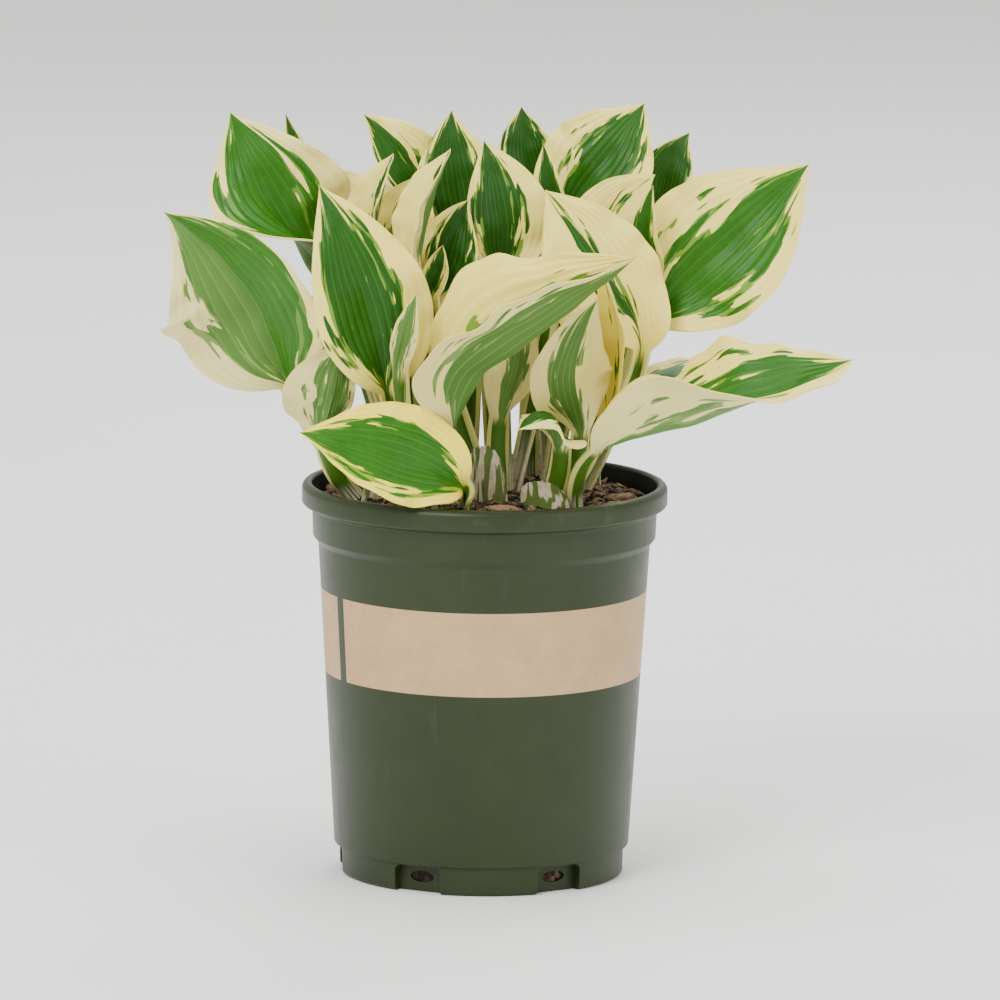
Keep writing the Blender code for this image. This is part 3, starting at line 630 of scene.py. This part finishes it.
# Streaks that run along a leaf or scale: noise drawn out lengthways, different on each piece by its seed.
streaks, given, out = effect("lengthways streaks", [
    ("Along", "NodeSocketFloat", 0.0), ("Across", "NodeSocketFloat", 0.0), ("Seed", "NodeSocketFloat", 0.0),
    ("Length", "NodeSocketFloat", 2.0), ("Width", "NodeSocketFloat", 20.0),
], [("Value", "NodeSocketFloat")])
drawn_out = node(streaks, "ShaderNodeCombineXYZ", (
    times(streaks, given["Along"], given["Length"]), times(streaks, given["Across"], given["Width"]),
    times(streaks, given["Seed"], 13.7)))
streaks.links.new(cloud(streaks, drawn_out.outputs[0], 1.0, 1.2), out["Value"])


def streaky(tree, along, across, seed, length, width):
    """Value of the lengthways streaks group."""
    feeds = {"Along": along, "Across": across, "Seed": seed, "Length": length, "Width": width}
    return use(tree, streaks, feeds)["Value"]


def ribbing(tree, shader, height, strength, depth):
    """Give the shader a relief from height, depth in metres."""
    bump = node(tree, "ShaderNodeBump", {"Strength": strength, "Distance": depth, "Height": height})
    tree.links.new(bump.outputs[0], shader["Normal"])


sheath_skin, tree, shader = new_finish("sheath_skin", IOR=1.42, Roughness=0.5)
u, s, seed = marked(tree, "leaf_place")
broad = streaky(tree, u, s, seed, 1.4, 3.6)
narrow = streaky(tree, u, s, seed, 3.0, 15.0)
papery = patchy(tree, own_place(tree), 120.0, (0.46, 0.38, 0.24), (0.70, 0.62, 0.44))
skin = tint(tree, step(tree, broad, 0.47, 0.52), papery["Colour"], (0.10, 0.16, 0.03))
pinkish = times(tree, step(tree, narrow, 0.55, 0.66), step(tree, u, 0.75, 0.1))
skin = tint(tree, times(tree, pinkish, 0.8), skin, (0.26, 0.12, 0.12))
skin = tint(tree, times(tree, step(tree, u, 0.16, 0.0), 0.6), skin, (0.16, 0.11, 0.06))
tree.links.new(skin, shader["Base Color"])
ribbing(tree, shader, narrow, 0.5, 0.0004)


def papery_sheath(shoot, degrees, half_angle, radius, height, lean):
    """The scale on one side of a shoot, which it wraps by half_angle to either side of degrees."""
    x, y = SHOOTS[shoot]
    number = ord(shoot)
    points, marks = [], []
    for skin in (SHEATH_THICKNESS, 0.0):
        for i in range(SHEATH_ROWS):
            row = i / (SHEATH_ROWS - 1)
            for j in range(SHEATH_COLUMNS):
                s = j / (SHEATH_COLUMNS - 1) * 2 - 1
                turn = radians(degrees + half_angle * s * (1 - 0.25 * row))
                frayed = 1 + SHEATH_FRAY * noise.noise(Vector((s * 7, number, 0))) * row
                rise = row * height * (1 - SHEATH_FALL * abs(s)**2.5) * frayed
                pleat = SHEATH_PLEAT_DEPTH * cos(s * SHEATH_PLEATS) * min(1, 3 * (1 - abs(s)))
                thin = skin * (1 - 0.55 * row**3) * (1 - 0.5 * abs(s)**4)
                reach = radius + thin + pleat + lean * rise + SHEATH_FLARE * row**4
                points.append((x + reach * sin(turn), y - reach * cos(turn),
                               STALK_FOOT - SHEATH_SUNK + rise))
                marks.append((row, s, number))
    faces = slab_faces(SHEATH_ROWS, SHEATH_COLUMNS)
    made = mesh_piece(f"papery_sheath_{shoot}", points, faces, sheath_skin, 60)
    mark(made, "leaf_place", marks)
    along, across = np.linspace(0, 1, SHEATH_ROWS), np.linspace(0, 1, SHEATH_COLUMNS)
    flat_map(made, SHEATH_ROWS, SHEATH_COLUMNS, along, across)
    fix(made, "sheath_skin", f"sheath_{shoot}")


for scale in (("a", 40, 38, 13, 20, 0.05), ("c", -42, 36, 14, 14, 0.1), ("d", -10, 38, 17, 30, 0.05),
              ("e", -18, 42, 18, 16, 0.2), ("f", 190, 30, 18.5, 15, 0.1), ("g", 178, 21, 23.5, 15, 0.05)):
    papery_sheath(*scale)

# Leaf skin. Satin green in the middle and cream to yellow in a wide, ragged margin that runs into the green
# along the veins, with lime and grey-green between; paler and duller beneath. The stalk is green between
# cream edges, and whitish with purple specks at its foot.
VEINS = 7
VEIN_SPACING = 0.9
GREEN_DARK, GREEN_BRIGHT = (0.004, 0.038, 0.001), (0.026, 0.145, 0.003)
LIME_GREEN, LIME_YELLOW = (0.11, 0.26, 0.04), (0.30, 0.42, 0.02)
CREAM, CREAM_YELLOW = (0.92, 0.79, 0.29), (0.92, 0.75, 0.06)
VEIN_GREEN, CREAM_VEIN_PAINTED_SHADE = (0.10, 0.28, 0.02), (0.74, 0.62, 0.12)
UNDER_DARK, UNDER_BRIGHT = (0.055, 0.14, 0.025), (0.10, 0.21, 0.035)
UNDER_LIME, UNDER_VEIN = (0.22, 0.32, 0.09), (0.22, 0.34, 0.09)
UNDER_CREAM, UNDER_YELLOW = (0.74, 0.66, 0.31), (0.78, 0.68, 0.18)
STALK_GREEN, STALK_CREAM = (0.050, 0.125, 0.008), (0.60, 0.58, 0.18)
FOOT_WHITE, FOOT_SPECKS = (0.66, 0.60, 0.46), (0.17, 0.07, 0.08)

leaf_blade, tree, shader = new_finish("leaf_blade", IOR=1.42, Specular_IOR_Level=0.28)
u, s, seed = marked(tree, "leaf_place")
left, right, shade = marked(tree, "leaf_margin")
under, ragged, yellow = marked(tree, "leaf_side")
place = own_place(tree)
out_from_rib = maths(tree, "ABSOLUTE", s)
on_right = step(tree, s, -0.01, 0.01)
half_seed = plus(tree, seed, times(tree, on_right, 0.37))
margin = plus(tree, times(tree, left, minus(tree, 1.0, on_right)), times(tree, right, on_right))
leaning = maths(tree, "MULTIPLY_ADD", u, -0.45, out_from_rib)
long_streaks = streaky(tree, u, leaning, half_seed, 4.6, 7.5)
fine_streaks = streaky(tree, u, leaning, half_seed, 9.0, 34.0)
long_off = times(tree, minus(tree, long_streaks, 0.5), times(tree, ragged, 1.3))
fine_off = times(tree, minus(tree, fine_streaks, 0.5), times(tree, ragged, 0.16))
base_share = maths(tree, "MULTIPLY_ADD", step(tree, u, -0.05, 0.30), 0.55, 0.45)
tip_share = maths(tree, "MULTIPLY_ADD", step(tree, u, 0.72, 1.0), -0.18, 1.0)
edge = times(tree, times(tree, minus(tree, 1.0, margin), base_share), tip_share)
beyond = minus(tree, plus(tree, out_from_rib, plus(tree, long_off, fine_off)), edge)
cream_share = step(tree, beyond, -0.006, 0.010)
patches = streaky(tree, u, out_from_rib, plus(tree, half_seed, 0.7), 4.0, 12.0)
lime_reach = maths(tree, "MULTIPLY_ADD", step(tree, patches, 0.42, 0.58), -0.16, -0.01)
lime_share = times(tree, step(tree, minus(tree, beyond, lime_reach), -0.004, 0.014), 0.75)
leaf_green = tint(tree, shade, GREEN_DARK, GREEN_BRIGHT)
mottled = patchy(tree, place, 55.0, (0.80, 0.84, 0.75), (1.08, 1.06, 1.1))
leaf_green = tint(tree, 1.0, leaf_green, mottled["Colour"], "MULTIPLY")
vein = times(tree, maths(tree, "POWER", out_from_rib, VEIN_SPACING), 2 * pi * VEINS)
vein = maths(tree, "COSINE", vein)
vein_line = step(tree, vein, 0.72, 1.0)
leaf_green = tint(tree, times(tree, vein_line, 0.20), leaf_green, VEIN_GREEN)
lime = tint(tree, yellow, LIME_GREEN, LIME_YELLOW)
cream = tint(tree, yellow, CREAM, CREAM_YELLOW)
# Painted shade: the cream is darkened along the sunken veins, standing for the shading of the ribs.
cream = tint(tree, times(tree, vein_line, 0.18), cream, CREAM_VEIN_PAINTED_SHADE)
upper = tint(tree, cream_share, tint(tree, lime_share, leaf_green, lime), cream)
pale_green = tint(tree, shade, UNDER_DARK, UNDER_BRIGHT)
pale_green = tint(tree, times(tree, vein_line, 0.35), pale_green, UNDER_VEIN)
pale_cream = tint(tree, yellow, UNDER_CREAM, UNDER_YELLOW)
lower = tint(tree, cream_share, tint(tree, lime_share, pale_green, UNDER_LIME), pale_cream)
# Painted sheen: the underside's colour also reaches the upper skin, by the leaf's painted_sheen value.
blade = tint(tree, under, upper, lower)
stalk_line = streaky(tree, u, s, seed, 1.0, 7.0)
stalk_edge = step(tree, plus(tree, out_from_rib, times(tree, stalk_line, 0.5)), 0.82, 0.95)
stalk = tint(tree, stalk_edge, STALK_GREEN, STALK_CREAM)
foot_share = times(tree, step(tree, u, -0.66, -0.95), step(tree, stalk_line, 0.38, 0.52))
stalk = tint(tree, foot_share, stalk, FOOT_WHITE)
specks = times(tree, step(tree, cloud(tree, place, 500.0, 4.0), 0.52, 0.62), step(tree, u, -0.60, -0.98))
stalk = tint(tree, times(tree, specks, 0.35), stalk, FOOT_SPECKS)
tree.links.new(tint(tree, step(tree, u, -0.10, 0.06), stalk, blade), shader["Base Color"])
satin = maths(tree, "MULTIPLY_ADD", mottled["Patches"], 0.08, 0.36)
tree.links.new(plus(tree, satin, times(tree, under, 0.14)), shader["Roughness"])
ribbed = plus(tree, times(tree, vein, -0.6), times(tree, fine_streaks, 0.8))
ribbed = plus(tree, ribbed, times(tree, cloud(tree, place, 700.0, 3.0), 0.35))
ribbing(tree, shader, ribbed, 0.35, 0.00022)

# Leaves. Each grows as one piece from the crown: a channelled stalk, then an egg-shaped blade folded along
# its midrib, with seven sunken veins a side that follow the margin, a rippled edge and a fine drawn-out tip.
STALK_ROWS = 22
BLADE_ROWS = 66
WIDE_COLUMNS = 57
NARROW_COLUMNS = 37
WIDE_LEAF = 45.0
STALK_HALF_WIDTH = 5.6
STALK_FOLD = 52.0
STALK_THICKNESS = 2.5
WAIST = 0.35
EDGE_CROWDING = 0.35
NEARLY_ONE = 0.98
BLADE_THICKNESS = 0.75
CROWN_TOP = 173.0
RIPPLE = 0.024
LONG_WAVES, SHORT_WAVES = 2.3, 5.1
VEIN_DEPTH = 0.0036
PUCKER = 0.022
PUCKERS_ALONG, PUCKERS_ACROSS = 6.0, 2.4
RIB_DEPTH = 0.9
RIB_WIDTH = 0.05
THINNING = 0.45
LEAST_HALF_WIDTH = 0.16
KEEL_ROUNDING = 2.2
FINE_STEPS = np.linspace(0, 1, 401)


def unit(v):
    v = np.asarray(v, float)
    return v / np.maximum(np.linalg.norm(v, axis=-1, keepdims=True), 1e-9)


def ease(t, start, end):
    """Smooth step from 0 at start to 1 at end."""
    x = np.clip((t - start) / (end - start), 0, 1)
    return x * x * (3 - 2 * x)


def growth_line(knots, stations):
    """Smooth curve through the knots at the given stations (knot 0, 1, 2 ...): points and directions."""
    knots = np.asarray(knots, float)
    gap = np.sqrt(np.linalg.norm(np.diff(knots, axis=0), axis=1))
    rate = np.diff(knots, axis=0) / gap[:, None]
    slope = np.zeros_like(knots)
    for i in range(1, len(knots) - 1):
        slope[i] = (gap[i] * rate[i - 1] + gap[i - 1] * rate[i]) / (gap[i - 1] + gap[i])
    slope[0] = 2 * rate[0] - slope[1]
    slope[-1] = 2 * rate[-1] - slope[-2]
    span = np.minimum(stations.astype(int), len(knots) - 2)
    t, h = (stations - span)[:, None], gap[span][:, None]
    start, end, out, into = knots[span], knots[span + 1], slope[span], slope[span + 1]
    points = (2 * t**3 - 3 * t**2 + 1) * start + (3 * t**2 - 2 * t**3) * end
    points += h * ((t**3 - 2 * t**2 + t) * out + (t**3 - t**2) * into)
    directions = (6 * t**2 - 6 * t) * (start - end) / h
    directions = directions + (3 * t**2 - 4 * t + 1) * out + (3 * t**2 - 2 * t) * into
    return points, unit(directions)


def ovate(u, near, far):
    """Half width of an egg-shaped blade, 1 at its widest."""
    peak = near / (near + far)
    return np.clip(u, 1e-9, 1)**near * np.clip(1 - u, 0, 1)**far / (peak**near * (1 - peak)**far)


def folded(reach, lift, bend):
    """How far out and how far up a half runs at each fine step: round at the keel, then lifted and bent."""
    lifted = ease(FINE_STEPS * reach[:, None], 0, KEEL_ROUNDING)
    slope = lift[:, None] * lifted + bend[:, None] * FINE_STEPS
    return [reach[:, None] * np.cumsum(part, axis=1) / len(FINE_STEPS)
            for part in (np.cos(slope), np.sin(slope))]


def rippled(u, side, seed, width):
    """Height of the ripple at the edge of a half, along the leaf."""
    wave = np.sin(2 * pi * (LONG_WAVES * u + 0.13 * seed + 0.5 * side))
    wave += 0.5 * np.sin(2 * pi * (SHORT_WAVES * u + 0.31 * seed))
    return wave * (RIPPLE * width * ease(u, 0.05, 0.3) * ease(u, 1.0, 0.8))


def leaf(name, foot, collar, middle, tip, facing, width, margin, shade, fold=(18, 18), curl=(-12, -12),
         fold_tip=None, facing_tip=None, opens=None, half=(1, 1), near=0.88, far=1.12, ragged=0.9,
         yellow=0.45, painted_sheen=(0, 0)):
    """One leaf. facing is where its upper side looks; fold lifts the halves in degrees, curl bends them out.

    opens is the way that the stalk's channel looks at its foot, towards the middle of the shoot if not given;
    half widens or narrows each half, and near and far shape the outline before and beyond its widest place;
    margin is the share of each half that is cream; shade runs from dark to bright green; ragged is how broken
    the margin is and yellow how yellow; painted_sheen is how far the underside's paler colour is painted on
    the upper side as a painted sheen of reflected light.
    """
    columns = WIDE_COLUMNS if width > WIDE_LEAF else NARROW_COLUMNS
    knots = [(*foot, CROWN_TOP), collar, *middle, tip]
    blade_stations = np.linspace(1, len(knots) - 1, BLADE_ROWS)[1:]
    stations = np.concatenate([np.linspace(0, 1, STALK_ROWS), blade_stations])
    line, tangent = growth_line(knots, stations)
    run = np.concatenate([[0], np.cumsum(np.linalg.norm(np.diff(line, axis=0), axis=1))])
    base = STALK_ROWS - 1
    on_stalk, on_blade = run / run[base] - 1, (run - run[base]) / (run[-1] - run[base])
    u = np.where(np.arange(len(line)) < base, on_stalk, on_blade)
    x, y = SHOOTS[name[0]]
    inward = unit((*(opens or (x - foot[0], y - foot[1])), 0.0))
    turn, late = ease(u, -0.9, 0.15)[:, None], ease(u, 0.25, 1.0)[:, None]
    face = unit(facing) * turn * (1 - late) + unit(facing_tip or facing) * turn * late + inward * (1 - turn)
    up = unit(unit(face) - (unit(face) * tangent).sum(-1, keepdims=True) * tangent)
    across = np.cross(tangent, up)
    stalk = np.where(u < 0, 1.0, np.clip(1 - u, 0, 1)**1.5) * STALK_HALF_WIDTH
    egg = width / 2 * ovate(np.clip(u, 0, 1), near, far)
    spread = np.maximum(np.sqrt(stalk**2 + egg**2), LEAST_HALF_WIDTH)
    opened, towards_tip, widened = ease(u, -0.05, 0.30), ease(u, 0.2, 0.85), ease(u, 0, 0.2)
    channel = radians(STALK_FOLD) * (1 - WAIST * ease(u, -1, -0.6) * (1 - ease(u, -0.6, 0)))
    seed = sum(ord(c) * k for c, k in zip(name, (3, 7)))
    even = np.linspace(-1, 1, columns)
    crowded = np.sin(even * pi / 2 * NEARLY_ONE) / sin(pi / 2 * NEARLY_ONE)
    s = EDGE_CROWDING * crowded + (1 - EDGE_CROWDING) * even
    sheet = np.zeros((len(line), columns, 3))
    for side in (0, 1):
        lift = np.radians(fold[side] * (1 - towards_tip) + (fold_tip or fold)[side] * towards_tip)
        lift = channel * (1 - opened) + lift * opened
        reach = spread * (1 + (half[side] - 1) * widened)
        out, rise = folded(reach, lift, radians(curl[side]) * opened)
        wave = rippled(u, side, seed, width)
        for j in (np.flatnonzero(s > 0) if side else np.flatnonzero(s <= 0)):
            off_rib = abs(s[j]) > 1e-9
            at = min(int(abs(s[j]) * len(FINE_STEPS)), len(FINE_STEPS) - 1)
            sideways = np.sign(s[j]) * out[:, at] * off_rib
            upwards = rise[:, at] * off_rib + wave * abs(s[j])**3
            sheet[:, j] = line + across * sideways[:, None] + up * upwards[:, None]
    normal = unit(np.cross(np.gradient(sheet, axis=1), np.gradient(sheet, axis=0)))
    vein = -np.cos(2 * pi * VEINS * np.abs(s)**VEIN_SPACING) * (1 - np.abs(s)**6)
    strength = VEIN_DEPTH * width * (ease(u, 0.0, 0.25) * ease(u, 1.0, 0.75))
    pucker = [[noise.noise(Vector((PUCKERS_ALONG * a, PUCKERS_ACROSS * b, seed * 1.7)))
               for b in s] for a in u]
    pucker = np.array(pucker) * PUCKER * width * (ease(u, 0.0, 0.3) * ease(u, 1.0, 0.8))[:, None]
    sheet = sheet + normal * (vein[None, :] * strength[:, None] + pucker)[..., None]
    taper = BLADE_THICKNESS + (STALK_THICKNESS - BLADE_THICKNESS) * (1 - ease(u, 0, 0.25))
    thickness = np.where(u < 0, STALK_THICKNESS, taper) * (1 - THINNING * ease(u, 0.8, 1.0))
    thickness = thickness[:, None] * (1 - THINNING * np.abs(s)**2)[None, :]
    rib = RIB_DEPTH * np.exp(-(s / RIB_WIDTH)**2)[None, :] * (ease(u, 0.0, 0.1) * ease(u, 1.0, 0.2))[:, None]
    above = sheet + normal * (thickness / 2 - 0.3 * rib)[..., None]
    below = sheet - normal * (thickness / 2 + rib)[..., None]
    points = np.concatenate([above.reshape(-1, 3), below.reshape(-1, 3)])
    made = mesh_piece(f"hosta_leaf_{name}", points, slab_faces(len(line), columns), leaf_blade, 70)
    rows = np.repeat(u, columns)
    spots = np.tile(s, len(line))
    skin = np.stack([rows, spots, np.full(len(rows), seed * 0.1)], 1)
    mark(made, "leaf_place", np.concatenate([skin, skin]))
    mark(made, "leaf_margin", np.tile((margin[0], margin[1], shade), (2 * len(rows), 1)))
    sides = np.tile((0.0, ragged, yellow), (2 * len(rows), 1))
    # Painted sheen: on the upper skin each half takes part of the underside's paler colour, standing for sky
    # reflected off it.
    sides[:len(rows), 0] = painted_sheen[0] * ease(-spots, -0.05, 0.05) + painted_sheen[1] * ease(spots, -0.05, 0.05)
    sides[len(rows):, 0] = 1.0
    mark(made, "leaf_side", sides)
    flat_map(made, len(line), columns, run / run[-1], (s + 1) / 2)
    fix(made, "leaf_blade", f"leaf_{name}")


# Leaves at the back share one loose fold.
LOOSE = {"fold": (16, 16), "curl": (-14, -14)}

# Shoot a, at the left.
# Leaf a1 gets a painted sheen on its left half.
leaf("a1", (-63, -5), (-89, -10, 226), [(-111, -32, 276)], (-146, -26, 306), (-0.4, -0.85, 0.3), 90,
     (0.34, 0.1), 0.85, fold=(5, 28), fold_tip=(5, 45), curl=(-8, -20), half=(1.08, 0.76), near=0.8, far=1.3,
     yellow=0.2, painted_sheen=(0.8, 0.1))
leaf("a2", (-59, -16), (-73, -31, 203), [(-69, -42, 226)], (-65, -39, 249), (-0.1, 0.95, 0.2), 38,
     (0.3, 0.55), 0.5, fold=(30, 4), curl=(-10, -6), half=(0.6, 1.2), near=0.9, far=0.95)
leaf("a3", (-50, 3), (-73, 3, 205), [(-79, 9, 239)], (-77, 11, 266), (-0.6, -0.6, 0.3), 26,
     (0.8, 0.7), 0.5, fold=(45, 45), yellow=0.8)

# Shoot b, left of the middle.
leaf("b1", (-44, 8), (-67, -2, 255), [(-93, -6, 301)], (-117, 2, 348), (0, -0.35, 0.92), 72,
     (0.22, 0.4), 0.8, facing_tip=(-0.25, -0.85, 0.45), fold=(78, 20), fold_tip=(0, 10), curl=(-5, -15),
     half=(1, 1.05), yellow=0.15)
leaf("b2", (-38, 2), (-45, -34, 228), [(-57, -49, 278)], (-76, -39, 321), (0.1, -0.95, 0.2), 55,
     (0.24, 0.46), 0.4, fold=(20, 20), curl=(-25, -35), half=(0.9, 1.07), near=0.75, far=1.15, yellow=0.5)
leaf("b3", (-28, 11), (-52, -8, 282), [(-50, -8, 308)], (-43, -4, 331), (-0.5, -0.6, 0.3), 30,
     (0.9, 0.45), 0.4, fold=(30, 60))
leaf("b4", (-34, 18), (-45, 22, 271), [(-62, 28, 299)], (-81, 30, 317), (-0.1, -0.85, 0.5), 44,
     (0.85, 0.9), 0.5, fold=(20, 20), yellow=0.3)
leaf("b5", (-48, 16), (-51, 27, 215), [(-81, 43, 240)], (-108, 57, 244), (0.4, -0.21, 0.85), 56,
     (0.35, 0.4), 0.6, **LOOSE)

# Shoot c, in front.
leaf("c1", (-19, -41), (-14, -52, 215), [(-2, -64, 239), (31, -78, 266)], (67, -86, 297),
     (-0.62, -0.05, 0.75), 87, (0.6, 0.3), 0.35, fold=(72, 50), curl=(-12, -20), near=0.75, yellow=0.55)
leaf("c2", (-8, -48), (-11, -62, 188), [(-45, -79, 205)], (-83, -83, 215), (-0.03, -0.87, 0.48), 60,
     (0.26, 0.4), 0.85, opens=(-0.9, -0.2), fold=(6, 16), curl=(-16, -30), half=(0.68, 0.9), near=0.75,
     yellow=0.95)
leaf("c3", (-28, -34), (-40, -52, 238), [(-37, -60, 256)], (-31, -62, 276), (0.5, 0.8, 0.2), 13,
     (0.4, 0.4), 0.4, fold=(25, 25))

# Shoot d, in the middle.
leaf("d1", (12, -12), (7, 2, 273), [(6, -2, 303)], (-2, 4, 336), (0.1, -0.95, 0.25), 38,
     (0.22, 0.52), 0.3, fold=(22, 14), half=(0.9, 1.2))
leaf("d2", (-5, -22), (-31, -31, 279), [(-27, -33, 307)], (-17, -31, 337), (-0.6, -0.5, 0.35), 36,
     (0.92, 0.5), 0.4, opens=(-0.6, -0.5), fold=(24, 60))
leaf("d3", (-4, -10), (-25, -12, 263), [(-20, -14, 288)], (-9, -12, 311), (0.3, -0.85, 0.35), 36,
     (0.5, 0.12), 0.25, fold=(38, 38))
leaf("d4", (2, -16), (-26, -22, 267), [(-23, -23, 281)], (-20, -23, 292), (0.1, -0.9, 0.2), 14,
     (0.4, 0.4), 0.4, opens=(0.1, -0.9), fold=(45, 45))
leaf("d5", (8, -24), (7, -20, 212), [(14, -16, 236)], (15, -10, 265), (-0.3, 0.8, 0.3), 28,
     (0.55, 0.6), 0.6, fold=(30, 30))
leaf("d6", (14, -2), (31, 3, 284), [(28, 1, 310)], (25, 3, 335), (-0.3, -0.9, 0.3), 18,
     (0.5, 0.15), 0.3, fold=(30, 30))

# Shoot e, right of the middle.
leaf("e1", (43, -36), (51, -52, 203), [(92, -62, 218), (137, -62, 235)], (165, -52, 246),
     (-0.15, -0.25, 0.93), 98, (0.36, 0.7), 0.8, facing_tip=(-0.2, -0.62, 0.76), fold=(17, 62),
     fold_tip=(14, 34), curl=(-10, -10), half=(0.96, 1), near=0.85, ragged=1.2)
leaf("e2", (24, -12), (70, -4, 242), [(51, -15, 284)], (26, -12, 316), (0.12, -0.9, 0.4), 72,
     (0.82, 0.94), 0.4, fold=(10, 10), curl=(-10, -22), half=(0.9, 0.68))
leaf("e3", (40, -22), (56, -15, 212), [(60, -33, 249)], (50, -39, 287), (-0.75, -0.5, 0.2), 32,
     (0.95, 0.95), 0.5, fold=(38, 30), near=0.75, yellow=0.8)
leaf("e4", (35, -30), (44, -34, 208), [(40, -50, 239)], (50, -50, 272), (-0.25, 0.9, 0.2), 40,
     (0.95, 0.35), 0.35, fold=(25, 20), near=0.7, yellow=0.6)
leaf("e5", (28, -36), (34, -52, 204), [(28, -64, 222)], (15, -76, 216), (0, -0.3, 0.95), 34,
     (0.5, 0.5), 0.4, fold=(-20, -20), curl=(-14, -14), near=0.6, yellow=0.1)

# Shoot f, behind the middle.
leaf("f1", (-9, 36), (-9, 19, 284), [(-15, 20, 323)], (-17, 24, 347), (0.1, -0.95, 0.2), 40,
     (0.1, 0.4), 0.3, fold=(15, 22))
leaf("f2", (-20, 33), (-26, 30, 295), [(-41, 28, 324)], (-57, 32, 344), (0.1, -0.95, 0.3), 34,
     (0.15, 0.6), 0.4, fold=(28, 20), half=(0.7, 1.15))
leaf("f3", (-14, 26), (-39, 6, 266), [(-39, 6, 294)], (-27, 8, 320), (-0.1, -0.95, 0.25), 36,
     (0.7, 0.5), 0.3, fold=(22, 22))
leaf("f4", (2, 32), (22, 38, 304), [(17, 38, 327)], (15, 40, 347), (0, -0.95, 0.2), 28,
     (0.1, 0.12), 0.25, fold=(20, 16))
leaf("f5", (-20, 40), (-65, 38, 275), [(-81, 44, 307)], (-93, 46, 342), (0.1, -0.9, 0.3), 16,
     (0.2, 0.2), 0.4, fold=(30, 30))
leaf("f6", (-14, 44), (-32, 41, 250), [(-53, 68, 292)], (-69, 88, 306), (0.28, -0.35, 0.85), 52,
     (0.35, 0.3), 0.6, **LOOSE)
leaf("f7", (-4, 42), (-18, 55, 205), [(-28, 87, 232)], (-40, 124, 224), (0.14, -0.43, 0.85), 64,
     (0.4, 0.32), 0.8, **LOOSE)
leaf("f8", (6, 40), (3, 50, 240), [(6, 80, 285)], (8, 108, 304), (-0.03, -0.45, 0.85), 62,
     (0.3, 0.42), 0.5, **LOOSE)

# Shoot g, at the right and behind.
leaf("g1", (42, 15), (75, 13, 251), [(113, 9, 292)], (146, 18, 325), (0.1, -0.9, 0.45), 74,
     (0.46, 0.36), 0.8, fold=(14, 14), curl=(-15, -20), half=(1, 0.85), near=0.8, ragged=1.1)
leaf("g2", (28, 34), (35, 30, 296), [(55, 29, 327)], (71, 34, 350), (-0.1, -0.9, 0.35), 54,
     (0.5, 0.3), 0.5, fold=(14, 20))
leaf("g3", (41, 44), (77, 50, 287), [(82, 50, 315)], (92, 54, 334), (0, -0.95, 0.3), 28,
     (0.08, 0.1), 0.4, fold=(22, 22))
leaf("g4", (28, 20), (47, 12, 271), [(54, 12, 298)], (76, 14, 320), (0, -0.9, 0.3), 33,
     (0.95, 0.9), 0.5, opens=(0.3, -0.9), fold=(20, 8))
leaf("g5", (45, 8), (75, 6, 268), [(71, 3, 294)], (75, 1, 317), (-0.2, -0.9, 0.3), 16,
     (0.35, 0.3), 0.6, opens=(-0.5, -0.8), fold=(35, 35))
leaf("g6", (20, 44), (22, 56, 218), [(36, 88, 248)], (50, 124, 242), (-0.17, -0.42, 0.85), 64,
     (0.32, 0.38), 0.7, **LOOSE)
leaf("g7", (30, 44), (34, 47, 240), [(53, 73, 284)], (71, 97, 296), (-0.26, -0.36, 0.85), 50,
     (0.42, 0.35), 0.5, **LOOSE)
leaf("g8", (52, 28), (60, 26, 206), [(94, 39, 225)], (128, 52, 216), (-0.42, -0.17, 0.85), 42,
     (0.35, 0.42), 0.7, **LOOSE)

# Studio. A plain pale floor that carries the pot, large soft lights and the camera; none of them is part
# of the plant.
FLOOR_REACH = 9000
AIM = Vector((0.007, 0.0, 0.1715))

pale, tree, shader = new_finish("studio_floor", Roughness=0.8)
even = patchy(tree, own_place(tree), 2.0, (0.92, 0.92, 0.92), (0.94, 0.94, 0.94))
tree.links.new(even["Colour"], shader["Base Color"])
corners = [(-FLOOR_REACH, -FLOOR_REACH, 0), (FLOOR_REACH, -FLOOR_REACH, 0), (FLOOR_REACH, FLOOR_REACH, 0),
           (-FLOOR_REACH, FLOOR_REACH, 0)]
floor = mesh_piece("studio_floor", corners, [(0, 1, 2, 3)], pale)

world = bpy.data.worlds.new("studio")
world.use_nodes = True
world.node_tree.nodes["Background"].inputs["Color"].default_value = (1.0, 0.99, 0.96, 1)
world.node_tree.nodes["Background"].inputs["Strength"].default_value = 0.95
bpy.context.scene.world = world


def softbox(name, place, size, power):
    """Square light, size in metres and power in watts, turned to the plant."""
    light = bpy.data.lights.new(name, "AREA")
    light.shape = "SQUARE"
    light.size = size
    light.energy = power
    made = bpy.data.objects.new(name, light)
    bpy.context.scene.collection.objects.link(made)
    made.location = place
    made.rotation_euler = (AIM - Vector(place)).to_track_quat("-Z", "Y").to_euler()


softbox("key_light", (-1.1, -1.9, 1.9), 1.3, 64)
softbox("fill_light", (1.9, -1.3, 0.9), 1.6, 18)
softbox("back_light", (0.5, 1.9, 1.9), 1.5, 34)
softbox("top_light", (0.0, 0.0, 2.4), 1.4, 28)

lens = bpy.data.cameras.new("camera")
lens.lens = 394.7
lens.sensor_width = 36.0
camera = bpy.data.objects.new("camera", lens)
bpy.context.scene.collection.objects.link(camera)
elevation, distance, roll = radians(9.5), 5.0, radians(0.6)
camera.location = AIM + Vector((0, -cos(elevation), sin(elevation))) * distance
view = (AIM - camera.location).to_track_quat("-Z", "Y")
camera.rotation_euler = view.to_euler()
camera.rotation_euler.rotate_axis("Z", roll)
bpy.context.scene.camera = camera
